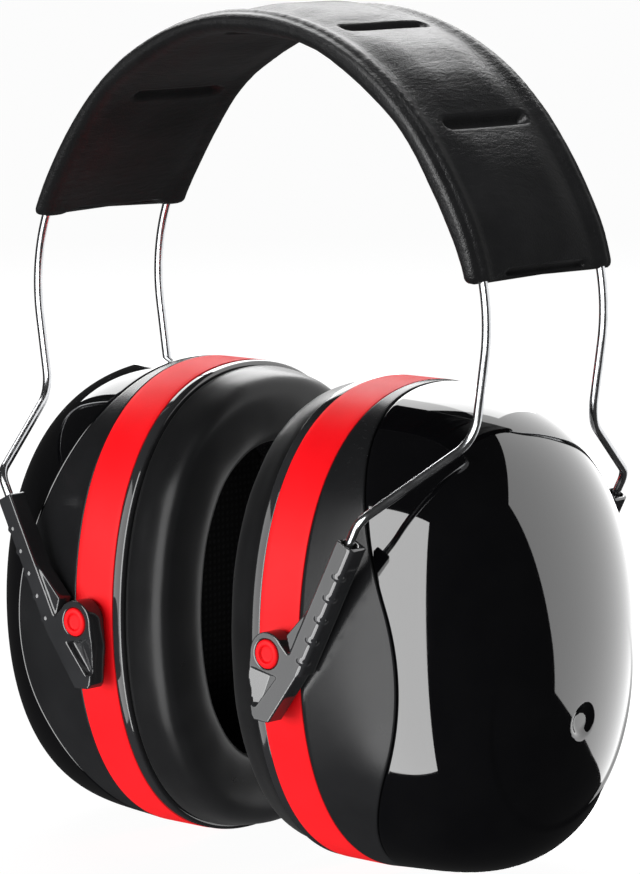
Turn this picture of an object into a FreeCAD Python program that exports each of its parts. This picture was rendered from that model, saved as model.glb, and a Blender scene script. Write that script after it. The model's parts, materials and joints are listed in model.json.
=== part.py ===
import FreeCAD, Part
import Sketcher

import math
import os
import re

from FreeCAD import Placement, Rotation, Vector

# Earmuff hearing protector: a padded band on two spring wires, and two cups that hang in forked arms.
# Millimetres. +X runs from ear to ear (right), -Y is the front, +Z is up. The origin lies midway between
# the ears, on the line through the cup pivots. The right half is modelled and the left half mirrors it.

SIZES = {
    # cup outline: an oval of two side arcs and two tighter end arcs
    "cup_half_width": 43.2,
    "cup_half_height": 55.0,
    "cup_side_radius": 93.6,
    "cup_lift": 0.5,
    # stations along X, counted outwards from the middle of the head
    "cushion_face_at": 9.3,
    "cushion_depth": 10.3,
    "rim_width": 2.8,
    "ring_width": 11.5,
    "cap_depth": 46.4,
    # outer cup, and the seam between its skirt and its cap
    "cup_wall": 2.5,
    "cap_taper_across": 0.164,
    "cap_taper_up": 0.064,
    "cap_drop": 4.7,
    "seam_reach": 23.4,
    "seam_radius": 45.0,
    "seam_peak_height": -5.0,
    "seam_slope_above": 22.0,
    "seam_slope_below": 27.0,
    "seam_overrun": 10.0,
    # spacer ring and rim
    "ring_wall": 3.0,
    "rim_inset": 0.6,
    "rim_land": 16.0,
    # inner cup and its lining
    "inner_cup_gap": 2.2,
    "inner_cup_depth": 38.0,
    "inner_cup_wall": 1.6,
    "liner_setback": 10.0,
    "liner_gap": 0.4,
    "mesh_thickness": 0.8,
    # ear cushion
    "cushion_inset": 1.6,
    "cushion_land": 17.4,
    "cushion_skin": 1.2,
    "cushion_round": 4.0,
    "plate_thickness": 1.6,
    # pivot studs
    "pivot_at": 29.2,
    "stud_radius": 3.3,
    "shank_radius": 2.0,
    "shank_length": 5.5,
    "dish_radius": 1.9,
    "dish_depth": 0.4,
    # arms
    "arm_gap": 0.5,
    "arm_plate": 4.8,
    "eye_wall": 1.5,
    "running_gap": 0.05,
    "tube_inner": 2.1,
    "tube_outer": 2.5,
    "tube_gap": 0.2,
    "tube_length": 33.0,
    "rib_radius": 1.3,
    "rib_rise": 1.25,
    "collar_radius": 1.6,
    "collar_width": 0.8,
    "collar_pitch": 5.5,
    "first_collar_at": 7.0,
    "pocket_depth": 1.8,
    "web_setback": 0.6,
    "mouth_radius": 1.7,
    "mouth_depth": 1.4,
    "cutter_reach": 1.0,
    # spring wires
    "wire_radius": 1.0,
    "wire_spacing": 20.4,
    "leg_cover": 2.8,
    "crown_height": 135.7,
    "crown_radius": 64.6,
    "crown_angle": 49.3,
    "shoulder_radius": 98.8,
    "shoulder_angle": 63.6,
    "side_radius": 47.8,
    "side_angle": 98.6,
    "upper_bend_height": 46.9,
    "lower_bend_at": 54.0,
    "lower_bend_height": 31.3,
    "upper_bend_radius": 9.0,
    "lower_bend_radius": 5.0,
    "leg_slope": 27.5,
    "leg_bare": 5.6,
    "leg_inserted": 27.0,
    # headband pad
    "pad_half_width": 23.8,
    "pad_below": 3.2,
    "pad_skin": 0.9,
    "pad_hem": 2.0,
    "pad_reach": 73.9,
    "pad_shift": 4.8,
    "slot_half_length": 13.5,
    "slot_half_width": 1.3,
    "slot_angle_low": 15.4,
    "slot_angle_high": 46.2,
    "slot_shift": 3.3,
}

COLLARS = 5
CAP_STATIONS = (0.0, 0.3, 0.5, 0.65, 0.78, 0.88, 0.94, 0.975, 0.993)
CAP_BLUNTNESS = 3.89  # how far out the cap keeps its width
CAP_ROUNDNESS = 2.0   # how roundly it turns over at the outside
FACE_OUT = Rotation(Vector(1, 1, 1), 120)   # a sketch that faces +X, with its x along +Y and its y along +Z
FACE_FRONT = Rotation(Vector(1, 0, 0), 90)  # a sketch that faces -Y, with its x along +X and its y along +Z

doc = FreeCAD.newDocument("earmuff")


def make_sheet():
    """Put every driving size in the spreadsheet, one named cell to a row."""
    cells = doc.addObject("Spreadsheet::Sheet", "sizes")
    for row, (name, value) in enumerate(SIZES.items(), start=1):
        cells.set(f"A{row}", name)
        cells.set(f"B{row}", str(value))
        cells.setAlias(f"B{row}", name)
    doc.recompute()
    return cells


sheet = make_sheet()


def named(text):
    """Spell each size of an expression as a cell of the sheet."""
    return re.sub(r"[a-z][a-z_]+", lambda word: f"sizes.{word[0]}" if word[0] in SIZES else word[0], text)


def value_of(text):
    """The value of an expression on the sizes."""
    return float(sheet.evalExpression(named(text)))


def bind(target, **expressions):
    """Tie an object's properties to expressions on the sizes."""
    for name, text in expressions.items():
        target.setExpression(name, named(text))
    return target


def place(target, along_x="0", along_y="0", along_z="0", turn=None):
    """Set an object's turn and tie its position to the sizes."""
    target.Placement = Placement(Vector(), turn or Rotation())
    for axis, text in zip("xyz", (along_x, along_y, along_z)):
        target.setExpression(f"Placement.Base.{axis}", named(text))
    return target


RIM_AT = "(cushion_face_at + cushion_depth)"
RING_AT = f"({RIM_AT} + rim_width)"
CAP_AT = f"({RING_AT} + ring_width)"


# ---------------------------------------------------------------- sketches

def drive(sketch, kind, *where, text):
    """Add one size to a sketch and tie it to the sheet."""
    number = sketch.addConstraint(Sketcher.Constraint(kind, *where, value_of(text)))
    sketch.setExpression(f"Constraints[{number}]", named(text))


def add_oval(sketch, wide="1", tall="1", inset="0"):
    """Add the cup's oval, scaled across and up, and then moved in by an inset.

    The four arcs keep their centres when the oval is moved in, so only the radii change.
    """
    across, up = f"(cup_half_width * ({wide}))", f"(cup_half_height * ({tall}))"
    side = f"(cup_side_radius * ({tall}))"
    end = f"((({side})^2 - ({up})^2 - ({across} - {side})^2) / (2 * ({side} - {up})))"
    side_centre, end_centre = value_of(f"{across} - {side}"), value_of(f"{up} - {end}")
    side_radius, end_radius = value_of(f"{side} - ({inset})"), value_of(f"{end} - ({inset})")
    turn = math.atan2(end_centre, -side_centre)
    arcs = (
        (side_centre, 0, side_radius, -turn, turn),
        (0, end_centre, end_radius, turn, math.pi - turn),
        (-side_centre, 0, side_radius, math.pi - turn, math.pi + turn),
        (0, -end_centre, end_radius, math.pi + turn, 2 * math.pi - turn),
    )
    first = sketch.GeometryCount
    for x, y, radius, start, stop in arcs:
        circle = Part.Circle(Vector(x, y, 0), Vector(0, 0, 1), radius)
        sketch.addGeometry(Part.ArcOfCircle(circle, start, stop), False)
    for index in range(4):
        sketch.addConstraint(Sketcher.Constraint("Tangent", first + index, 2, first + (index + 1) % 4, 1))
    drive(sketch, "DistanceX", first, 3, -1, 1, text=f"{side} - {across}")
    drive(sketch, "DistanceX", -1, 1, first + 2, 3, text=f"{side} - {across}")
    for index in (0, 2):
        sketch.addConstraint(Sketcher.Constraint("PointOnObject", first + index, 3, -1))
        drive(sketch, "Radius", first + index, text=f"{side} - ({inset})")
    for index in (1, 3):
        drive(sketch, "Radius", first + index, text=f"{end} - ({inset})")


def add_outline(sketch, points):
    """Add a closed outline of straight lines whose corners are all tied to the sheet."""
    first = sketch.GeometryCount
    values = [Vector(value_of(x), value_of(y), 0) for x, y in points]
    for index, start in enumerate(values):
        sketch.addGeometry(Part.LineSegment(start, values[(index + 1) % len(values)]), False)
    for index in range(len(points)):
        following = first + (index + 1) % len(points)
        sketch.addConstraint(Sketcher.Constraint("Coincident", first + index, 2, following, 1))
    for index, (x, y) in enumerate(points):
        for kind, text in (("DistanceX", x), ("DistanceY", y)):
            drive(sketch, kind, -1, 1, first + index, 1, text=text)


def add_circle(sketch, radius):
    """Add a circle about the sketch's origin."""
    number = sketch.addGeometry(Part.Circle(Vector(), Vector(0, 0, 1), value_of(radius)), False)
    sketch.addConstraint(Sketcher.Constraint("Coincident", number, 3, -1, 1))
    drive(sketch, "Radius", number, text=radius)


def free_sketch(name, turn, **where):
    """A sketch outside any body, at a bound place."""
    return place(doc.addObject("Sketcher::SketchObject", name), turn=turn, **where)


def body_sketch(body, name, role, offset="0"):
    """A sketch parallel to one of its body's origin planes, at a bound distance."""
    sketch = body.newObject("Sketcher::SketchObject", name)
    plane = next(plane for plane in body.Origin.OriginFeatures if plane.Role == role)
    sketch.AttachmentSupport = [(plane, "")]
    sketch.MapMode = "FlatFace"
    sketch.setExpression("AttachmentOffset.Base.z", named(offset))
    return sketch


# ---------------------------------------------------------------- building blocks

def oval_plate(name, start, thickness, inset, land=None):
    """A body: the cup's oval, moved in by an inset, as a plate or, with a land, as a ring."""
    body = doc.addObject("PartDesign::Body", name)
    place(body, along_z="cup_lift")
    outline = body_sketch(body, f"{name}_outline", "YZ_Plane", start)
    add_oval(outline, inset=inset)
    if land:
        add_oval(outline, inset=f"{inset} + {land}")
    pad = body.newObject("PartDesign::Pad", f"{name}_pad")
    pad.Profile = outline
    bind(pad, Length=thickness)
    body.Tip = pad
    return body


def dome(name, start, depth, scale, stations=CAP_STATIONS):
    """A blunt dome on the cup's oval, as a loft whose sections shrink and drop outwards."""
    sections = []
    for number, station in enumerate(stations):
        turn_over = (1 - station ** CAP_BLUNTNESS) ** (1 / CAP_ROUNDNESS)
        across, up = (f"({scale}) * (1 - cap_taper_{way} * {station}) * {turn_over:.5f}"
                      for way in ("across", "up"))
        section = free_sketch(f"{name}_section_{number}", FACE_OUT,
                              along_x=f"{start} + ({depth}) * {station}",
                              along_z=f"cup_lift - cap_drop * {station ** 2:.5f}")
        add_oval(section, wide=across, tall=up)
        sections.append(section)
    loft = doc.addObject("Part::Loft", name)
    loft.Sections = sections
    loft.Solid = True
    loft.Ruled = False
    return loft


def join(kind, name, base, *tools):
    """A boolean of two or more objects."""
    if kind == "fuse":
        result = doc.addObject("Part::MultiFuse", name)
        result.Shapes = [base, *tools]
    elif kind == "common":
        result = doc.addObject("Part::MultiCommon", name)
        result.Shapes = [base, *tools]
    else:
        result = doc.addObject("Part::Cut", name)
        result.Base = base
        result.Tool = tools[0] if len(tools) == 1 else join("fuse", f"{name}_tools", *tools)
    return result


def extrusion(name, sketch, length, direction):
    """A solid extrusion of a free sketch along a direction."""
    solid = doc.addObject("Part::Extrusion", name)
    solid.Base = sketch
    solid.DirMode = "Custom"
    solid.Dir = direction
    solid.Solid = True
    bind(solid, LengthFwd=length)
    return solid


def cylinder(name, radius, height, turn, **where):
    """A cylinder with bound sizes and place."""
    solid = doc.addObject("Part::Cylinder", name)
    bind(solid, Radius=radius, Height=height)
    return place(solid, turn=turn, **where)


def mirrored(name, source, normal):
    """The mirror image of a finished object."""
    image = doc.addObject("Part::Mirroring", name)
    image.Source = source
    image.Normal = normal
    return image


# ---------------------------------------------------------------- cup

def make_spacer_ring():
    """The bright ring between the cushion's rim and the outer cup, bored for the two pivot shanks."""
    body = oval_plate("spacer_ring", RING_AT, "ring_width", "0", "ring_wall")
    bore = body_sketch(body, "spacer_ring_bore", "XZ_Plane")
    number = bore.addGeometry(Part.Circle(Vector(value_of("pivot_at"), 0, 0), Vector(0, 0, 1), 2), False)
    drive(bore, "DistanceX", -1, 1, number, 3, text="pivot_at")
    drive(bore, "DistanceY", number, 3, -1, 1, text="cup_lift")
    drive(bore, "Radius", number, text="shank_radius")
    pocket = body.newObject("PartDesign::Pocket", "spacer_ring_pocket")
    pocket.Profile = bore
    pocket.Type = "ThroughAll"
    pocket.Midplane = True
    body.Tip = pocket
    return body


def make_outer_cup():
    """The outer cup's two shells: a satin skirt beside the ring, and the glossy cap beyond the seam."""
    outside = dome("cup_outside", CAP_AT, "cap_depth", "1")
    hollow = dome("cup_hollow", CAP_AT, "cap_depth - cup_wall", "1 - cup_wall / cup_half_width")
    shell = join("cut", "cup_shell", outside, hollow)
    seam = make_seam_tool()
    return join("common", "cup_skirt", shell, seam), join("cut", "outer_cap", shell, seam)


def make_seam_tool():
    """A block whose outer face is the seam: a rounded peak beside the pivot, sloping back above and below."""
    sketch = free_sketch("seam_profile", FACE_FRONT, along_y="cup_half_width + seam_overrun")
    reach, radius = value_of(f"{CAP_AT} + seam_reach"), value_of("seam_radius")
    peak = value_of("seam_peak_height")
    above, below = (math.radians(value_of(f"seam_slope_{side}")) for side in ("above", "below"))
    centre = Vector(reach - radius, peak, 0)
    run = value_of("cup_half_height + 2 * seam_overrun")
    upper = centre + Vector(math.cos(above), math.sin(above), 0) * radius
    lower = centre + Vector(math.cos(below), -math.sin(below), 0) * radius
    top = upper + Vector(-math.sin(above), math.cos(above), 0) * run
    bottom = lower + Vector(-math.sin(below), -math.cos(below), 0) * run
    back = value_of(f"{CAP_AT} - seam_overrun")
    corners = [lower, bottom, Vector(back, bottom.y, 0), Vector(back, top.y, 0), top, upper]
    for start, end in zip(corners, corners[1:]):
        sketch.addGeometry(Part.LineSegment(start, end), False)
    circle = Part.Circle(centre, Vector(0, 0, 1), radius)
    sketch.addGeometry(Part.ArcOfCircle(circle, -below, above), False)
    return extrusion("seam_tool", sketch, "2 * cup_half_width + 2 * seam_overrun", Vector(0, -1, 0))


def make_inner_cup():
    """The inner cup that seals against the rim, with the foam that lines it and the mesh that faces it."""
    scale = "1 - (ring_wall + inner_cup_gap) / cup_half_width"
    inner = f"{scale} - inner_cup_wall / cup_half_width"
    outside = dome("inner_cup_outside", RING_AT, "inner_cup_depth", scale)
    hollow = dome("inner_cup_hollow", RING_AT, "inner_cup_depth - inner_cup_wall", inner)
    shell = join("cut", "inner_cup", outside, hollow)
    core = dome("liner_core", RING_AT, "inner_cup_depth - inner_cup_wall - liner_gap",
                f"{inner} - liner_gap / cup_half_width")
    half = doc.addObject("Part::Box", "liner_half")
    bind(half, Length="inner_cup_depth", Width="2 * cup_half_width", Height="2.4 * cup_half_height")
    place(half, along_x=f"{RING_AT} + liner_setback", along_y="-cup_half_width",
          along_z="-1.2 * cup_half_height")
    foam = join("common", "liner_foam", core, half)
    slab = doc.addObject("Part::Box", "mesh_slab")
    bind(slab, Length="mesh_thickness", Width="2 * cup_half_width", Height="2.4 * cup_half_height")
    place(slab, along_x=f"{RING_AT} + liner_setback - mesh_thickness", along_y="-cup_half_width",
          along_z="-1.2 * cup_half_height")
    return shell, foam, join("common", "acoustic_mesh", core, slab)


def make_cushion():
    """The snap-in ear cushion: a stiff plate, a foam ring and the skin that wraps them."""
    skin = doc.addObject("PartDesign::Body", "cushion_cover")
    place(skin, along_z="cup_lift")
    outline = body_sketch(skin, "cushion_cover_outline", "YZ_Plane", "cushion_face_at")
    add_oval(outline, inset="cushion_inset")
    add_oval(outline, inset="cushion_inset + cushion_land")
    pad = skin.newObject("PartDesign::Pad", "cushion_cover_pad")
    pad.Profile = outline
    bind(pad, Length="cushion_depth")
    doc.recompute()
    near = value_of("cushion_face_at")
    edges = [f"Edge{number}" for number, edge in enumerate(pad.Shape.Edges, start=1)
             if abs(edge.BoundBox.XMax - near) < 0.01]
    rounding = skin.newObject("PartDesign::Fillet", "cushion_cover_round")
    rounding.Base = (pad, edges)
    bind(rounding, Radius="cushion_round")
    cavity = body_sketch(skin, "cushion_cover_cavity", "YZ_Plane", "cushion_face_at + cushion_skin")
    add_oval(cavity, inset="cushion_inset + cushion_skin")
    add_oval(cavity, inset="cushion_inset + cushion_land - cushion_skin")
    pocket = skin.newObject("PartDesign::Pocket", "cushion_cover_pocket")
    pocket.Profile = cavity
    pocket.Reversed = True
    bind(pocket, Length="cushion_depth")
    skin.Tip = pocket
    ring = ("cushion_inset + cushion_skin", "cushion_land - 2 * cushion_skin")
    foam = oval_plate("cushion_foam", "cushion_face_at + cushion_skin",
                      "cushion_depth - cushion_skin - plate_thickness", *ring)
    plate = oval_plate("cushion_plate", f"{RIM_AT} - plate_thickness", "plate_thickness", *ring)
    return skin, foam, plate


def make_rim():
    """The glossy rim between the cushion and the ring, which closes the cup round the ear opening."""
    return oval_plate("rim_frame", RIM_AT, "rim_width", "rim_inset", "rim_land")


STUD_END = "(cup_half_width + arm_gap + arm_plate)"


def make_stud():
    """The front pivot: a round head in the arm's eye, a shank through the ring and a shallow dish."""
    body = doc.addObject("PartDesign::Body", "front_stud")
    place(body, along_x="pivot_at")
    head = body_sketch(body, "front_stud_head", "XZ_Plane", "cup_half_width")
    add_circle(head, "stud_radius")
    head_pad = body.newObject("PartDesign::Pad", "front_stud_head_pad")
    head_pad.Profile = head
    bind(head_pad, Length=f"{STUD_END} - cup_half_width")
    shank = body_sketch(body, "front_stud_shank", "XZ_Plane", "cup_half_width - shank_length")
    add_circle(shank, "shank_radius")
    shank_pad = body.newObject("PartDesign::Pad", "front_stud_shank_pad")
    shank_pad.Profile = shank
    bind(shank_pad, Length="shank_length + 0.5")
    dish = body_sketch(body, "front_stud_dish", "XZ_Plane", STUD_END)
    add_circle(dish, "dish_radius")
    pocket = body.newObject("PartDesign::Pocket", "front_stud_dish_pocket")
    pocket.Profile = dish
    bind(pocket, Length="dish_depth")
    body.Tip = pocket
    return body


# ---------------------------------------------------------------- arm

ARM_BACK = "(cup_half_width + arm_gap)"
ARM_FRONT = STUD_END
LEG_DEPTH = f"({ARM_BACK} + leg_cover)"
TOP_AT = "(lower_bend_at - leg_bare * sin(leg_slope * 1deg))"
TOP_HEIGHT = "(lower_bend_height - leg_bare * cos(leg_slope * 1deg))"


def along_leg(down, out):
    """A point of the arm: a distance down the wire's leg from the tube's top, and one out from the leg."""
    x = f"{TOP_AT} - ({down}) * sin(leg_slope * 1deg) + ({out}) * cos(leg_slope * 1deg)"
    z = f"{TOP_HEIGHT} - ({down}) * cos(leg_slope * 1deg) - ({out}) * sin(leg_slope * 1deg)"
    return x, z


def make_arm():
    """The front arm: an eye on the pivot, a leg and foot below it, and a ribbed tube for the wire's leg."""
    leg_turn = Rotation(Vector(0, 1, 0), 180 + value_of("leg_slope"))
    eye_radius = "(stud_radius + running_gap + eye_wall)"
    eye = cylinder("arm_eye", eye_radius, "arm_plate", FACE_FRONT, along_x="pivot_at",
                   along_y=f"-{ARM_BACK}")
    plate = extrusion("arm_plate_solid", make_arm_outline(eye_radius), "arm_plate", Vector(0, -1, 0))
    tube_turn = Rotation(Vector(0, 1, 0), value_of("leg_slope"))
    foot_x, foot_z = along_leg("tube_length", "-tube_inner")
    tube = [doc.addObject("Part::Box", name) for name in ("arm_tube", "arm_tube_side")]
    for block, wide, back in zip(tube, ("tube_inner + tube_outer - rib_radius", "tube_inner + tube_outer"),
                                 ("0", "rib_rise")):
        bind(block, Length=wide, Height="tube_length", Width=f"{ARM_FRONT} - {back} - cup_half_width - tube_gap")
        place(block, along_x=foot_x, along_y=f"{back} - {ARM_FRONT}", along_z=foot_z, turn=tube_turn)
    rib_x, rib_z = along_leg("0", "tube_outer - rib_radius")
    rib_y = f"rib_rise - {ARM_FRONT}"
    ribs = [cylinder("arm_rib", "rib_radius", "tube_length", leg_turn, along_x=rib_x, along_y=rib_y,
                     along_z=rib_z)]
    for number in range(COLLARS):
        x, z = along_leg(f"first_collar_at + {number} * collar_pitch", "tube_outer - rib_radius")
        ribs.append(cylinder(f"arm_collar_{number + 1}", "collar_radius", "collar_width", leg_turn,
                             along_x=x, along_y=rib_y, along_z=z))
    web = extrusion("arm_web", make_web_outline(), "arm_plate - web_setback", Vector(0, -1, 0))
    blank = join("fuse", "arm_blank", eye, plate, *tube, web, *ribs)
    eye_bore = cylinder("arm_eye_bore", "stud_radius + running_gap", "arm_plate + 2 * cutter_reach", FACE_FRONT,
                        along_x="pivot_at", along_y=f"cutter_reach - {ARM_BACK}")
    bore_x, bore_z = along_leg("-cutter_reach", "0")
    wire_bore = cylinder("arm_wire_bore", "wire_radius + running_gap", "leg_inserted + 2 * cutter_reach", leg_turn,
                         along_x=bore_x, along_y=f"-{LEG_DEPTH}", along_z=bore_z)
    mouth_x, mouth_z = along_leg("-cutter_reach", "0")
    mouth = cylinder("arm_mouth", "mouth_radius", "mouth_depth + cutter_reach", leg_turn,
                     along_x=mouth_x, along_y=f"-{LEG_DEPTH}", along_z=mouth_z)
    return join("cut", "front_arm", blank, eye_bore, wire_bore, mouth, make_pocket())


def make_arm_outline(eye_radius):
    """The arm's plate: tangent from the eye down to the foot, up the rib side and back along the gusset."""
    sketch = free_sketch("arm_outline", FACE_FRONT, along_y=f"-{ARM_BACK}")
    add_outline(sketch, [
        (f"pivot_at - {eye_radius}", "0"),
        (f"pivot_at - {eye_radius} - 0.6", "-1.5 * eye_wall - stud_radius"),
        ("pivot_at - stud_radius - 1.4", "-4.2 * stud_radius"),
        ("pivot_at - stud_radius - 0.6", "-4.55 * stud_radius"),
        ("pivot_at + 0.2", "-4.6 * stud_radius"),
        along_leg("tube_length", "tube_outer - 0.6"),
        along_leg("tube_length", "-tube_inner"),
        (f"pivot_at + {eye_radius} * 1.27", f"{eye_radius} * 0.12"),
        (f"pivot_at + {eye_radius} * 0.78", f"{eye_radius} * 0.6"),
    ])
    return sketch


def make_web_outline():
    """The web that stiffens the tube above the eye, with a slot between it and the eye's ring."""
    sketch = free_sketch("arm_web_outline", FACE_FRONT, along_y=f"-{ARM_BACK}")
    add_outline(sketch, [
        along_leg("tube_length * 0.4", "-0.4 * tube_inner"),
        ("pivot_at + 1.58 * stud_radius", "1.42 * stud_radius"),
        ("pivot_at + 1.88 * stud_radius", "0.36 * stud_radius"),
        along_leg("tube_length * 0.95", "-0.4 * tube_inner"),
    ])
    return sketch


def make_pocket():
    """The pointed recess in the leg under the button; its left wall slopes in from the edge."""
    mouth = free_sketch("arm_pocket_mouth", FACE_FRONT, along_y=f"-{ARM_FRONT} - cutter_reach")
    add_outline(mouth, [
        ("pivot_at - 2.36 * stud_radius", "-0.63 * stud_radius"),
        ("pivot_at - 2.45 * stud_radius", "-3.33 * stud_radius"),
        ("pivot_at - 1.2 * stud_radius", "-3.78 * stud_radius"),
        ("pivot_at + 0.85 * stud_radius", "-stud_radius - eye_wall"),
    ])
    floor = free_sketch("arm_pocket_floor", FACE_FRONT, along_y=f"pocket_depth - {ARM_FRONT}")
    add_outline(floor, [
        ("pivot_at - 0.1 * stud_radius", "-stud_radius - eye_wall"),
        ("pivot_at - 1.0 * stud_radius", "-3.4 * stud_radius"),
        ("pivot_at - 0.95 * stud_radius", "-3.5 * stud_radius"),
        ("pivot_at + 0.72 * stud_radius", "-stud_radius - eye_wall - running_gap"),
    ])
    pocket = doc.addObject("Part::Loft", "arm_pocket")
    pocket.Sections = [mouth, floor]
    pocket.Solid = True
    pocket.Ruled = True
    return pocket


# ---------------------------------------------------------------- headband

def size(name):
    """The value of one cell."""
    return float(sheet.get(name))


def arch_arcs():
    """The arcs of the band's arch from left to right: centre, radius, and the two turns from the vertical."""
    radii = [size("crown_radius"), size("shoulder_radius"), size("side_radius")]
    turns = [math.radians(size(f"{part}_angle")) for part in ("crown", "shoulder", "side")]
    centre = Vector(0, 0, size("crown_height") - radii[0])
    arcs = [(centre, radii[0], -turns[0], turns[0])]
    for number in (1, 2):
        start = turns[number - 1]
        centre = centre + Vector(math.sin(start), 0, math.cos(start)) * (radii[number - 1] - radii[number])
        opposite = Vector(-centre.x, 0, centre.z)
        arcs.append((centre, radii[number], start, turns[number]))
        arcs.insert(0, (opposite, radii[number], -turns[number], -start))
    return arcs


def arch(offset, depth, left, right):
    """Edges of the arch, moved out by an offset, between two turns in degrees (left ones are negative)."""
    edges = []
    for centre, radius, start, stop in arch_arcs():
        start, stop = max(start, math.radians(left)), min(stop, math.radians(right))
        if stop > start:
            points = [centre + Vector(math.sin(turn), 0, math.cos(turn)) * (radius + offset)
                      + Vector(0, depth, 0) for turn in (start, (start + stop) / 2, stop)]
            edges.append(Part.Arc(*points).toShape())
    return edges


def pad_ends():
    """The turns at which the pad begins and ends."""
    return size("pad_shift") - size("pad_reach"), size("pad_shift") + size("pad_reach")


def pad_strip(low, high, half):
    """A strip of the pad between two heights over the wires, as one solid of a given half width."""
    lower, upper = (arch(offset, -half, *pad_ends()) for offset in (low, high))
    ends = [Part.LineSegment(upper[end].Vertexes[end].Point, lower[end].Vertexes[end].Point).toShape()
            for end in (0, -1)]
    outline = Part.Wire(Part.__sortEdges__(upper + lower + ends))
    return Part.Face(outline).extrude(Vector(0, 2 * half, 0))


def mirror_edges(edges):
    """The left half of a line, from its right half."""
    return [edge.mirror(Vector(), Vector(1, 0, 0)) for edge in edges]


def corner_path(points, radii):
    """Straight runs through the points, with a tangent arc of its own radius at each inner one."""
    edges, start = [], points[0]
    for before, corner, after, radius in zip(points, points[1:], points[2:], radii):
        arriving, leaving = (corner - before).normalize(), (after - corner).normalize()
        turn = arriving.getAngle(leaving)
        setback = radius * math.tan(turn / 2)
        enter, leave = corner - arriving * setback, corner + leaving * setback
        inwards = (leaving - arriving).normalize()
        middle = corner + inwards * (radius / math.cos(turn / 2) - radius)
        edges.append(Part.LineSegment(start, enter).toShape())
        edges.append(Part.Arc(enter, middle, leave).toShape())
        start = leave
    edges.append(Part.LineSegment(start, points[-1]).toShape())
    return edges


def wire_path(depth_sign):
    """The whole line of one spring wire: up from the left arm, over the crown and down to the right arm."""
    depth = depth_sign * size("wire_spacing")
    leg_depth = depth_sign * value_of(LEG_DEPTH)
    side_angle = size("side_angle")
    crown = arch(0, depth, -side_angle, side_angle)
    end = crown[-1].Vertexes[-1].Point
    slope = math.radians(side_angle - 90)
    bend_height = size("upper_bend_height")
    upper = Vector(end.x - (end.z - bend_height) * math.tan(slope), depth, bend_height)
    lower = Vector(size("lower_bend_at"), leg_depth, size("lower_bend_height"))
    tilt = math.radians(size("leg_slope"))
    leg = size("leg_bare") + size("leg_inserted")
    tail = lower - Vector(math.sin(tilt), 0, math.cos(tilt)) * leg
    bends = (size("upper_bend_radius"), size("lower_bend_radius"))
    side = corner_path([end, upper, lower, tail], bends)
    return Part.Wire(Part.__sortEdges__(crown + side + mirror_edges(side))), tail, (tail - lower).normalize()


def add_shape(name, shape):
    """A sub-part whose shape is worked out here from the sheet's values."""
    feature = doc.addObject("Part::Feature", name)
    feature.Shape = shape
    return feature


def round_bar(path, end, direction, radius):
    """A round bar along a path, from one of its ends."""
    profile = Part.Wire(Part.Circle(end, direction, radius).toShape())
    bar = path.makePipeShell([profile], True, True)
    expected = math.pi * radius ** 2 * path.Length
    if abs(bar.Volume - expected) > 0.01 * expected:
        raise RuntimeError(f"a bar holds {bar.Volume:.0f} mm3 instead of {expected:.0f}")
    return bar


def make_wires():
    """The two spring wires, front and rear."""
    return [add_shape(name, round_bar(*wire_path(sign), size("wire_radius")))
            for name, sign in (("front_wire", -1), ("rear_wire", 1))]


def slot_box(angle, low, high):
    """A block across the pad at an angle from the crown, long enough for one slot."""
    half_length, half_width = size("slot_half_length"), size("slot_half_width")
    radius = size("crown_radius")
    box = Part.makeBox(2 * half_width, 2 * half_length, high - low,
                       Vector(-half_width, -half_length, radius + low))
    ends = [Part.makeCylinder(half_width, high - low, Vector(0, side * half_length, radius + low))
            for side in (-1, 1)]
    slot = box.fuse(ends)
    slot.rotate(Vector(), Vector(0, 1, 0), angle)
    slot.translate(Vector(0, 0, size("crown_height") - radius))
    return slot


def make_pad():
    """The headband pad: an outer cover with its side walls, a flat inner cover and the foam they hold."""
    half, hem, skin = size("pad_half_width"), size("pad_hem"), size("pad_skin")
    above, below = size("wire_radius") + skin, size("pad_below")
    core = half - hem
    channel = pad_strip(skin - below, above, half)
    room = pad_strip(-below - 1, above - skin, core)
    angles = [size("slot_shift") + sign * size(f"slot_angle_{part}")
              for sign in (-1, 1) for part in ("low", "high")]
    slots = [slot_box(angle, above - 2 * skin, above + 2) for angle in angles]
    outer = channel.cut([room, *slots])
    inner = pad_strip(-below, skin - below, half)
    dents = [slot_box(angle, -below - 1, skin / 2 - below) for angle in angles]
    foam = pad_strip(skin - below, above - skin, core)
    tunnels = [round_bar(*wire_path(sign), size("wire_radius") + size("running_gap")) for sign in (-1, 1)]
    return [
        add_shape("pad_outer_cover", outer),
        add_shape("pad_inner_cover", inner.cut(dents)),
        add_shape("pad_foam", foam.cut([*slots, *tunnels])),
    ]


# ---------------------------------------------------------------- assembly and files

def make_model():
    """Build every sub-part, mirror what repeats, and return node names with their objects."""
    ring = make_spacer_ring()
    skirt, cap = make_outer_cup()
    inner_cup, foam, mesh = make_inner_cup()
    cover, cushion_foam, plate = make_cushion()
    stud, arm = make_stud(), make_arm()
    cup = {
        "spacer_ring": ring, "cup_skirt": skirt, "outer_cap": cap, "inner_cup": inner_cup,
        "liner_foam": foam, "acoustic_mesh": mesh, "rim_frame": make_rim(), "cushion_plate": plate,
        "cushion_foam": cushion_foam, "cushion_cover": cover, "front_stud": stud, "front_arm": arm,
    }
    for part in ("stud", "arm"):
        cup[f"rear_{part}"] = mirrored(f"rear_{part}", cup[f"front_{part}"], Vector(0, 1, 0))
    nodes = {}
    for name, source in cup.items():
        nodes[f"right_{name}"] = source
        nodes[f"left_{name}"] = mirrored(f"left_{name}", source, Vector(1, 0, 0))
    for feature in (*make_wires(), *make_pad()):
        nodes[feature.Name] = feature
    for name, source in nodes.items():
        source.Label = name
    doc.recompute()
    return nodes


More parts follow.
